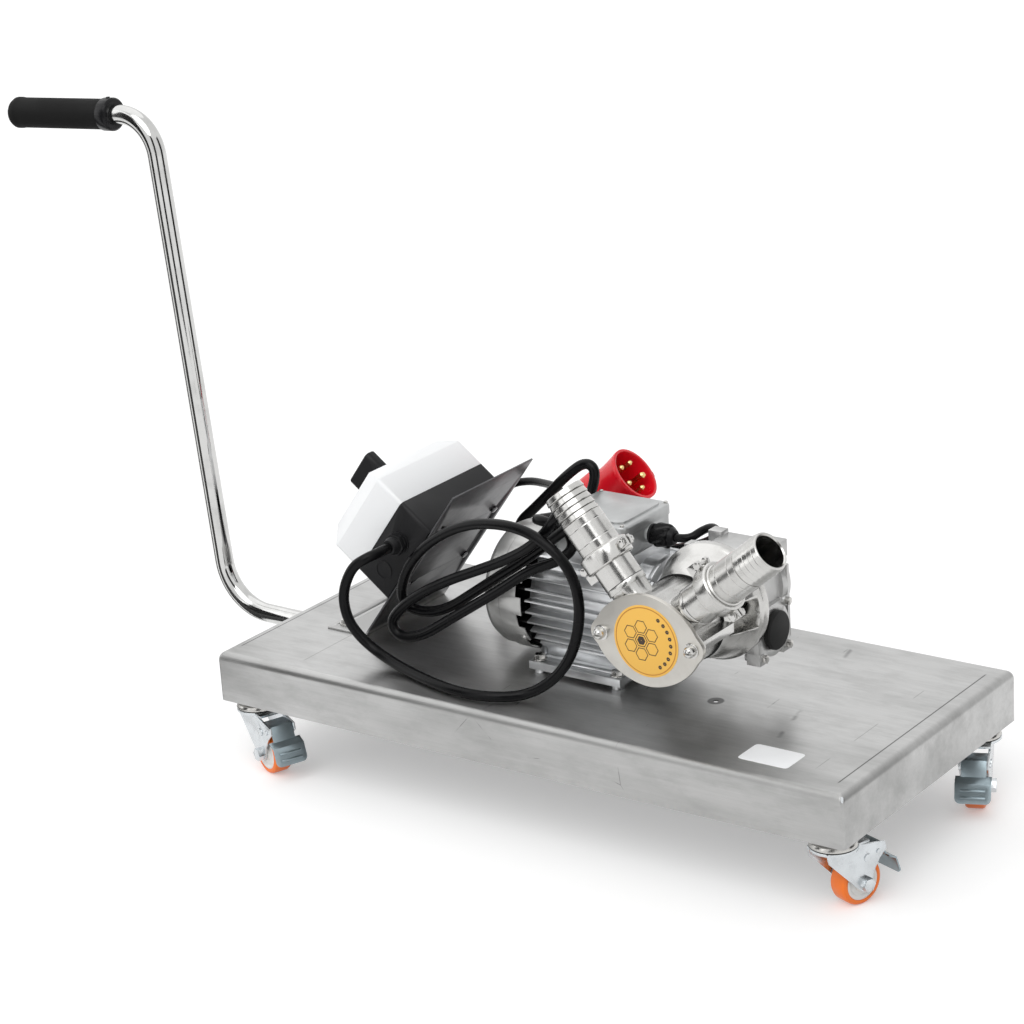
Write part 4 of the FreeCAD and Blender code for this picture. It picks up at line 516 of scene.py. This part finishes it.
def smooth_sheet(piece):
    """Shade bends smooth, with flat faces kept apart."""
    merged(piece)
    piece.modifiers.new("folds", "EDGE_SPLIT").split_angle = FOLD_ANGLE


for name, node in NODES.items():
    dress(node, SLOT_OF[name], OWN_FINISH.get(name))
    if name == "deck_tray":
        smooth_sheet(node)
    else:
        soften(node)


# Cables

# The routes of the solids, from the box's front gland to the plug and from the motor's gland to the
# box's rear gland.
SUPPLY_ROUTE = (
    (182.28, 92.5, 180.36), (182.28, 76.5, 180.36), (176, 60, 178), (159, 55, 166), (145, 53, 135),
    (150, 51, 108), (164, 52, 89), (185, 57, 71), (227, 47, 64), (281, 30, 64), (330, 22, 64),
    (366, 30, 64), (391, 51, 64), (422, 56, 85), (440, 62, 110), (448, 67, 137), (452, 68, 166),
    (449, 67, 195), (434, 66, 219), (410, 66, 235), (380, 68, 243), (344, 73, 241), (306, 79, 232),
    (267, 85, 214), (231, 90, 189), (203, 94, 158), (187, 99, 120), (207, 103, 106),
    (247, 103, 115), (296, 101, 149), (329, 101, 172), (360, 101, 193), (392, 101, 218),
    (435, 103, 252), (441, 88, 268), (424, 74, 263), (409, 79, 242), (382, 82, 217),
    (346, 85, 196), (308, 86, 178), (270, 86, 161), (233, 86, 141), (203, 86, 120), (181, 86, 96),
    (195, 86, 79), (228, 86, 89), (262, 87, 112), (305, 87, 140), (341, 88, 164), (375, 89, 189),
    (409, 96, 202), (419, 111, 214), (404, 120, 230), (366, 119, 234), (355, 135, 227),
    (357, 176, 218), (354, 230, 215), (361, 240, 250), (346, 240, 259), (319, 240, 238),
    (294, 240, 213), (271, 240, 191), (248, 243, 171), (235, 241, 126), (212, 240, 101),
    (201, 265, 91), (212, 290, 99), (236, 292, 121), (258.95, 296.88, 138.55),
    (271.1, 298.8, 148.8),)
MOTOR_ROUTE = (
    (497.5, 183, 214), (513.5, 183, 214), (521, 199, 221), (521, 221, 218), (514, 240, 203),
    (496, 248, 188), (474, 246, 180), (438, 252, 168), (398, 256, 160), (362, 257, 168),
    (330, 259, 186), (300, 263, 203), (271, 286, 204), (243, 303, 198), (214, 315, 193),
    (190, 313, 187), (182.28, 297.5, 180.36), (182.28, 281.5, 180.36),)


def lay_cable(name, points, diameter, node):
    """Smooth line whose control points are the route's, with a round section. The points carry
    the section's radius, and the bevel is 1, so that the object's box fits it closely."""
    curve = bpy.data.curves.new(name, "CURVE")
    curve.dimensions = "3D"
    curve.bevel_depth = 1.0
    curve.bevel_resolution = 6
    curve.resolution_u = 8
    curve.render_resolution_u = 8
    curve.use_fill_caps = True
    spline = curve.splines.new("NURBS")
    spline.points.add(len(points) - 1)
    line = np.hstack([row(points), np.ones((len(points), 1))])
    spline.points.foreach_set("co", line.ravel())
    spline.points.foreach_set("radius", np.full(len(points), diameter / 2))
    spline.order_u = 3
    spline.use_endpoint_u = True
    cable = bpy.data.objects.new(name, curve)
    bpy.context.scene.collection.objects.link(cable)
    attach(cable, "trolley")
    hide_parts(node)
    dress(cable, SLOT_OF[node])


lay_cable("supply_lead", SUPPLY_ROUTE, 0.0116, "supply_cable")
lay_cable("motor_lead", MOTOR_ROUTE, 0.0092, "motor_cable")


# Pieces shaped by formula, in the deck's millimetres

# Where the two ports' axes cross, and angles round a section: a plain and a fine set
PORT = np.array((573.0, 35.0, 173.5))
TURN = np.linspace(0.0, 2.0 * np.pi, 96, endpoint=False)
TURN_FINE = np.linspace(0.0, 2.0 * np.pi, 192, endpoint=False)


def skin(name, rings, slot, closed="caps", finish=None):
    """Mesh of quads between rings of points (ring, round, xyz). closed is caps for flat ends, or
    loop where the last ring meets the first. It is turned inside out if its volume, a third of
    the sum of corner . normal area, comes out below nothing."""
    count, around = rings.shape[:2]
    steps = count if closed == "loop" else count - 1
    i, j = np.meshgrid(np.arange(steps), np.arange(around), indexing="ij")
    i, j = i.ravel(), j.ravel()
    next_ring, next_round = (i + 1) % count, (j + 1) % around
    quads = np.stack([i * around + j, i * around + next_round, next_ring * around + next_round,
                      next_ring * around + j], axis=1)
    points = row(rings.reshape(-1, 3))
    a, b, c, d = (points[quads[:, k]] - points.mean(axis=0) for k in range(4))
    volume = (a * np.cross(c - a, d - b)).sum()
    faces = quads.tolist()
    if closed == "caps":
        faces += [list(range(around))[::-1], list(range((count - 1) * around, count * around))]
    if volume < 0:
        faces = [face[::-1] for face in faces]
    mesh = bpy.data.meshes.new(name)
    mesh.from_pydata(points.tolist(), [], faces)
    piece = bpy.data.objects.new(name, mesh)
    bpy.context.scene.collection.objects.link(piece)
    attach(piece, "trolley")
    dress(piece, slot, finish)
    mesh.polygons.foreach_set("use_smooth", [True] * len(mesh.polygons))
    piece.modifiers.new("folds", "EDGE_SPLIT").split_angle = EDGE_ANGLE
    return piece


def spun(stations, radii, centre, axis):
    """Rings about an axis: centre + station * axis + radius * (cos t * across + sin t * side)."""
    axis = np.asarray(axis, float) / np.linalg.norm(axis)
    across = np.cross(axis, (0.0, 1.0, 0.0) if abs(axis[1]) < 0.9 else (1.0, 0.0, 0.0))
    across /= np.linalg.norm(across)
    side = np.cross(axis, across)
    round_way = np.outer(np.cos(TURN), across) + np.outer(np.sin(TURN), side)
    centres = np.asarray(centre, float) + np.outer(stations, axis)
    return centres[:, None, :] + np.asarray(radii)[:, None, None] * round_way[None, :, :]


def groove(stations, place, depth, width):
    """Round-bottomed turned line: depth * exp(-((s - place) / width)^2)."""
    return depth * np.exp(-((stations - place) / width) ** 2)


# Hose tails: radii of the barrel and the bore; where the barbs and their grooves start along the
# port, their pitch and their fall; where the two fine lines lie
TAIL_R = 22.0
TAIL_BORE_R = 17.6
BARBS_FROM = 140.0
GROOVES_FROM = 137.0
BARB_PITCH = 6.6
BARB_FALL = 1.5
TAIL_LINES = (113.0, 131.0)


def hose_tail(name, angle):
    """Turned hose tail. Each of its five barbs falls by BARB_FALL * t towards the mouth, t running
    from 0 to 1 over a pitch, and starts at a groove 1.2 deep; two finer lines ring the barrel."""
    shoulder = np.array([(62.7, 21.5), (85.8, 21.5), (87.0, 23.4), (103.4, 23.4), (104.6, TAIL_R)])
    along = np.linspace(105.0, 172.2, 270)
    barbs = np.clip((along - BARBS_FROM) / BARB_PITCH, 0.0, None)
    nearest = BARBS_FROM + BARB_PITCH * np.round(barbs)
    barb_grooves = np.where(along > GROOVES_FROM, groove(along, nearest, 1.2, 0.35), 0)
    radius = TAIL_R - BARB_FALL * (barbs % 1.0) - barb_grooves
    radius -= sum(groove(along, place, 0.25, 0.4) for place in TAIL_LINES)
    mouth = np.array([(172.9, 19.8), (172.9, 18.6), (171.4, TAIL_BORE_R), (62.7, TAIL_BORE_R)])
    stations = np.concatenate([shoulder[:, 0], along, mouth[:, 0]])
    radii = np.concatenate([shoulder[:, 1], radius, mouth[:, 1]])
    way = (math.sin(math.radians(angle)), 0.0, math.cos(math.radians(angle)))
    piece = skin(name + "_turned", spun(stations, radii, PORT, way), SLOT_OF[name], "loop")
    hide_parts(name)


hose_tail("hose_tail_left", -39.5)
hose_tail("hose_tail_right", 50.5)


# Front cover: the half widths of its oval, the radius of its ears and how far out they lie. The
# badge's radius. The rings of both, from back to front, each as its place along Y and its inset;
# the faces of the badge and of its print along Y.
COVER_HALF = (63.0, 49.0)
EAR_R = 12.5
EAR_OUT = 54.0
BADGE_R = 38.2
BADGE_FACE = 9.45
PRINT_FACE = 9.4
COVER_RINGS = ((14.95, 0.0), (10.7, 0.0), (10.2, 0.25), (10.0, 0.8))
BADGE_RINGS = ((10.0, 0.0), (9.6, 0.0), (BADGE_FACE, 0.3))


def outline_plate(name, radii, places, node):
    """Plate with the outline radii(t) about the ports' crossing, in the place of a solid; each
    ring is the outline at a place along Y, drawn in by an inset."""
    rings = []
    for depth, inset in places:
        reach = radii - inset
        rings.append(np.stack([PORT[0] + reach * np.cos(TURN_FINE), np.full(len(radii), depth),
                               PORT[2] + reach * np.sin(TURN_FINE)], axis=1))
    piece = skin(name, np.array(rings), SLOT_OF[node])
    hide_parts(node)


def cover_outline():
    """Oval (|cos t / a|^1.8 + |sin t / b|^1.8)^(-1/1.8) with half widths a and b, widened where
    the eared discs either side reach further out."""
    cosine, sine = np.abs(np.cos(TURN_FINE)), np.abs(np.sin(TURN_FINE))
    oval = ((cosine / COVER_HALF[0]) ** 1.8 + (sine / COVER_HALF[1]) ** 1.8) ** (-1 / 1.8)
    inside = EAR_R ** 2 - (EAR_OUT * sine) ** 2
    ear = np.where(inside > 0, EAR_OUT * cosine + np.sqrt(np.clip(inside, 0, None)), 0.0)
    return (oval ** 26 + ear ** 26) ** (1 / 26)


outline_plate("cover_plate", cover_outline(), COVER_RINGS, "pump_cover")

RING_INK = Finish("badge_ring_print", (0.52, 0.22, 0.03), 0.0, 0.5)
LINE_INK = Finish("badge_line_print", (0.045, 0.026, 0.014), 0.0, 0.5)

# The badge's print: inner and outer radii of its ring, of the comb's cells, of the core in the
# middle one and of the small cells in a rank beside the comb; the comb's middle and pitch and the
# ways to its outer cells; the radius of the rank's arc and the ways to its cells, in degrees
RING_RADII = (35.0, 36.2)
CELL_RADII = (6.6, 7.6)
CORE_RADII = (0.4, 5.0)
RANK_RADII = (0.4, 2.3)
COMB_MIDDLE = -5.5
COMB_PITCH = 14.6
COMB_ANGLES = 30.0 + np.arange(6) * 60.0
RANK_ARC_R = 29.5
RANK_ANGLES = np.arange(-58.0, 59.0, 14.5)
HEXAGON = 6


def print_ring(name, ink, spot, radii, sides=HEXAGON):
    """Printed ring with that many sides, a twentieth of a millimetre thick."""
    inner, outer = radii
    turn = np.arange(sides) * 2.0 * np.pi / sides
    rings = [np.stack([PORT[0] + spot[0] + r * np.cos(turn), np.full(sides, y),
                       PORT[2] + spot[1] + r * np.sin(turn)], axis=1)
             for r, y in ((outer, BADGE_FACE), (outer, PRINT_FACE), (inner, PRINT_FACE),
                          (inner, BADGE_FACE))]
    skin(name, np.array(rings), SLOT_OF["cover_label"], "loop", ink)


def cover_badge():
    """Amber disc with a darker ring, a comb of seven cells and a rank of small cells beside it."""
    outline_plate("badge_disc", np.full(len(TURN_FINE), BADGE_R), BADGE_RINGS, "cover_label")
    cells = [(COMB_MIDDLE, 0.0)] + [(COMB_MIDDLE + COMB_PITCH * math.cos(t),
                                     COMB_PITCH * math.sin(t)) for t in np.radians(COMB_ANGLES)]
    rank = [(RANK_ARC_R * math.cos(t), RANK_ARC_R * math.sin(t))
            for t in np.radians(RANK_ANGLES)]
    print_ring("badge_ring", RING_INK, (0.0, 0.0), RING_RADII, len(TURN_FINE))
    for number, spot in enumerate(cells):
        print_ring(f"badge_cell_{number}", LINE_INK, spot, CELL_RADII)
    print_ring("badge_core", LINE_INK, cells[0], CORE_RADII)
    for number, spot in enumerate(rank):
        print_ring(f"badge_rank_{number}", LINE_INK, spot, RANK_RADII)


cover_badge()

# The bare plate on the deck: its middle and half widths, the deck's face, and the plate's rings,
# each as its height above that face and its inset
PLATE_MIDDLE = (690.0, 49.7)
PLATE_HALF = (29.0, 19.5)
DECK_FACE = 57.5
PLATE_RINGS = ((0.0, 0.0), (0.25, 0.0), (0.3, 0.15))


def deck_plate():
    """White plate with rounded corners: (|cos t / a|^12 + |sin t / b|^12)^(-1/12) with half widths
    a and b."""
    cosine, sine = np.abs(np.cos(TURN_FINE)), np.abs(np.sin(TURN_FINE))
    outline = ((cosine / PLATE_HALF[0]) ** 12 + (sine / PLATE_HALF[1]) ** 12) ** (-1 / 12)
    rings = []
    for height, inset in PLATE_RINGS:
        reach = outline - inset
        rings.append(np.stack([PLATE_MIDDLE[0] + reach * np.cos(TURN_FINE),
                               PLATE_MIDDLE[1] + reach * np.sin(TURN_FINE),
                               np.full(len(reach), DECK_FACE + height)], axis=1))
    skin("deck_plate", np.array(rings), "box_white")


deck_plate()

# Where the motor's gland stands on the terminal box, and the boot over it: its middle and half
# length along the gland, its radius, its lobes (number, height, twist), how far its ends draw in
GLAND_ROOT = (468.5, 183.0, 214.0)
BOOT_MIDDLE = 14.0
BOOT_HALF = 11.5
BOOT_R = 12.6
LOBES = 8.0
LOBE_HEIGHT = 0.8
LOBE_TWIST = math.radians(25.0)
BOOT_DRAW = 4.5


def gland_boot():
    """Lumpy boot of radius BOOT_R with lobes LOBE_HEIGHT (1 - u^4) cos(LOBES (t + LOBE_TWIST u)),
    drawn in at both ends by BOOT_DRAW u^6, u running from -1 to 1 along it."""
    stations = np.linspace(BOOT_MIDDLE - BOOT_HALF, BOOT_MIDDLE + BOOT_HALF, 40)
    u = (stations - BOOT_MIDDLE)[:, None] / BOOT_HALF
    lobes = LOBE_HEIGHT * np.cos(LOBES * (TURN[None, :] + LOBE_TWIST * u))
    reach = BOOT_R + lobes * (1.0 - u ** 4) - BOOT_DRAW * u ** 6
    rings = np.stack([np.broadcast_to(GLAND_ROOT[0] + stations[:, None], reach.shape),
                      GLAND_ROOT[1] + reach * np.cos(TURN),
                      GLAND_ROOT[2] + reach * np.sin(TURN)], axis=2)
    skin("gland_boot", rings, "cable_black")


# The weld down the tray's front right corner: its foot a little inside the corner, its radius, and
# its blob (height of its middle, how much it swells, its breadth)
WELD_FOOT = (797.75, 2.25, 0.0)
WELD_R = 1.0
BLOB_MIDDLE = 53.0
BLOB_SWELL = 0.5
BLOB_BREADTH = 2.5


def corner_weld():
    """Ground weld: a rod of radius WELD_R + BLOB_SWELL e^(-(v / BLOB_BREADTH)^2), v being the
    height above the blob's middle, near its head."""
    heights = np.linspace(0.8, 56.0, 48)
    radii = WELD_R + BLOB_SWELL * np.exp(-((heights - BLOB_MIDDLE) / BLOB_BREADTH) ** 2)
    skin("corner_weld", spun(heights, radii, WELD_FOOT, (0.0, 0.0, 1.0)), "caster_zinc")


gland_boot()
corner_weld()


# Stage and light

# Azimuth in degrees round the object from the front, distance, width and height in metres
BOARDS = {
    "board_near": (30.0, 3.2, 1.2, 2.6),
    "board_left": (-38.0, 3.0, 1.4, 2.8),
    "board_right": (112.0, 3.0, 1.5, 2.8),
}
# The two ways that bound each cloth, in degrees from X; how far it reaches, in metres, from the
# point of the floor under the handle, in the deck's millimetres
CLOTHS = {
    "cloth_inner": (-136.8, -104.8),
    "cloth_outer": (-180.8, -156.8),
}
CLOTH_REACH = 3.0
HANDLE_FOOT = (-160.0, 180.0, -81.5)
# The way to each lamp, its strength and its breadth in degrees
LAMPS = {
    "key_lamp": ((0.25, -0.75, 1.0), 1.15, 50.0),
    "top_lamp": ((-0.5, 0.25, 1.0), 0.50, 70.0),
    "side_lamp": ((-0.9, -0.9, 0.4), 0.55, 60.0),
}
FLOOR_HALF = 30.0
# How much the floor glows to the lens, and how strong the world is as light
FLOOR_GLOW = 0.30
WORLD_LIGHT = 0.55


def stage_sheet(name, corners, finish):
    """Flat sheet of the studio, with its place in its mesh."""
    mesh = bpy.data.meshes.new(name)
    mesh.from_pydata([tuple(corner) for corner in corners], [], [tuple(range(len(corners)))])
    mesh.materials.append(finish.material)
    sheet = bpy.data.objects.new(name, mesh)
    bpy.context.scene.collection.objects.link(sheet)
    return sheet


def seen_ray(tree):
    """1 for what the lens sees directly, in a mirror or through glass, 0 for light falling."""
    path = put(tree, "ShaderNodeLightPath").outputs
    return calc(tree, "MAXIMUM", path["Is Camera Ray"],
                calc(tree, "MAXIMUM", path["Is Glossy Ray"], path["Is Transmission Ray"]))


def make_floor():
    """Pale floor that keeps the shadow and reads as white."""
    finish = Finish("floor_paper", (0.80, 0.80, 0.80), 0.0, 0.9)
    finish.set(Emission_Color=(1.0, 1.0, 1.0, 1.0), Specular_IOR_Level=0.0,
               Emission_Strength=calc(finish.tree, "MULTIPLY", seen_ray(finish.tree), FLOOR_GLOW))
    corners = [(x * FLOOR_HALF, y * FLOOR_HALF, 0.0) for x, y in ((-1, -1), (1, -1), (1, 1), (-1, 1))]
    stage_sheet("floor", corners, finish)


def mirrored_only(name, corners):
    """Matt black sheet that is seen in bare metal alone, as a dark streak."""
    sheet = stage_sheet(name, corners, Finish(name + "_matt", (0.02, 0.02, 0.02), 0.0, 0.9))
    sheet.visible_camera = False
    sheet.visible_diffuse = False
    sheet.visible_shadow = False
    sheet.visible_transmission = False


def dark_board(name, azimuth, distance, width, height):
    """Upright board of a studio, out of view, that faces the object."""
    turn = math.radians(azimuth)
    middle = distance * np.array((math.sin(turn), -math.cos(turn), 0.0))
    half = width / 2.0 * np.array((math.cos(turn), math.sin(turn), 0.0))
    up = np.array((0.0, 0.0, height))
    mirrored_only(name, [middle - half, middle + half, middle + half + up, middle - half + up])


def dark_cloth(name, first, last):
    """Cloth on the floor, fanned out from under the handle between two ways."""
    foot = row(HANDLE_FOOT)
    ends = [foot + CLOTH_REACH * np.array((math.cos(t), math.sin(t), 0.0))
            for t in np.radians((first, last))]
    mirrored_only(name, [foot] + ends)


def make_world():
    """White for the camera and in mirrors, a softer grey as light."""
    world = bpy.data.worlds.new("studio")
    bpy.context.scene.world = world
    world.use_nodes = True
    tree = world.node_tree
    background = next(n for n in tree.nodes if n.type == "BACKGROUND")
    background.inputs["Color"].default_value = (1.0, 1.0, 1.0, 1.0)
    strength = spread(tree, seen_ray(tree), 0.0, 1.0, WORLD_LIGHT, 1.0)
    join(tree, strength, background.inputs["Strength"])


def make_lamp(name, way, strength, breadth):
    """Soft lamp far off, shining from way."""
    light = bpy.data.lights.new(name, "SUN")
    light.energy = strength
    light.angle = math.radians(breadth)
    lamp = bpy.data.objects.new(name, light)
    bpy.context.scene.collection.objects.link(lamp)
    lamp.rotation_euler = Vector(way).to_track_quat("Z", "Y").to_euler()


make_floor()
make_world()
for name, values in BOARDS.items():
    dark_board(name, *values)
for name, values in CLOTHS.items():
    dark_cloth(name, *values)
for name, values in LAMPS.items():
    make_lamp(name, *values)
bpy.context.scene.view_settings.view_transform = "Standard"
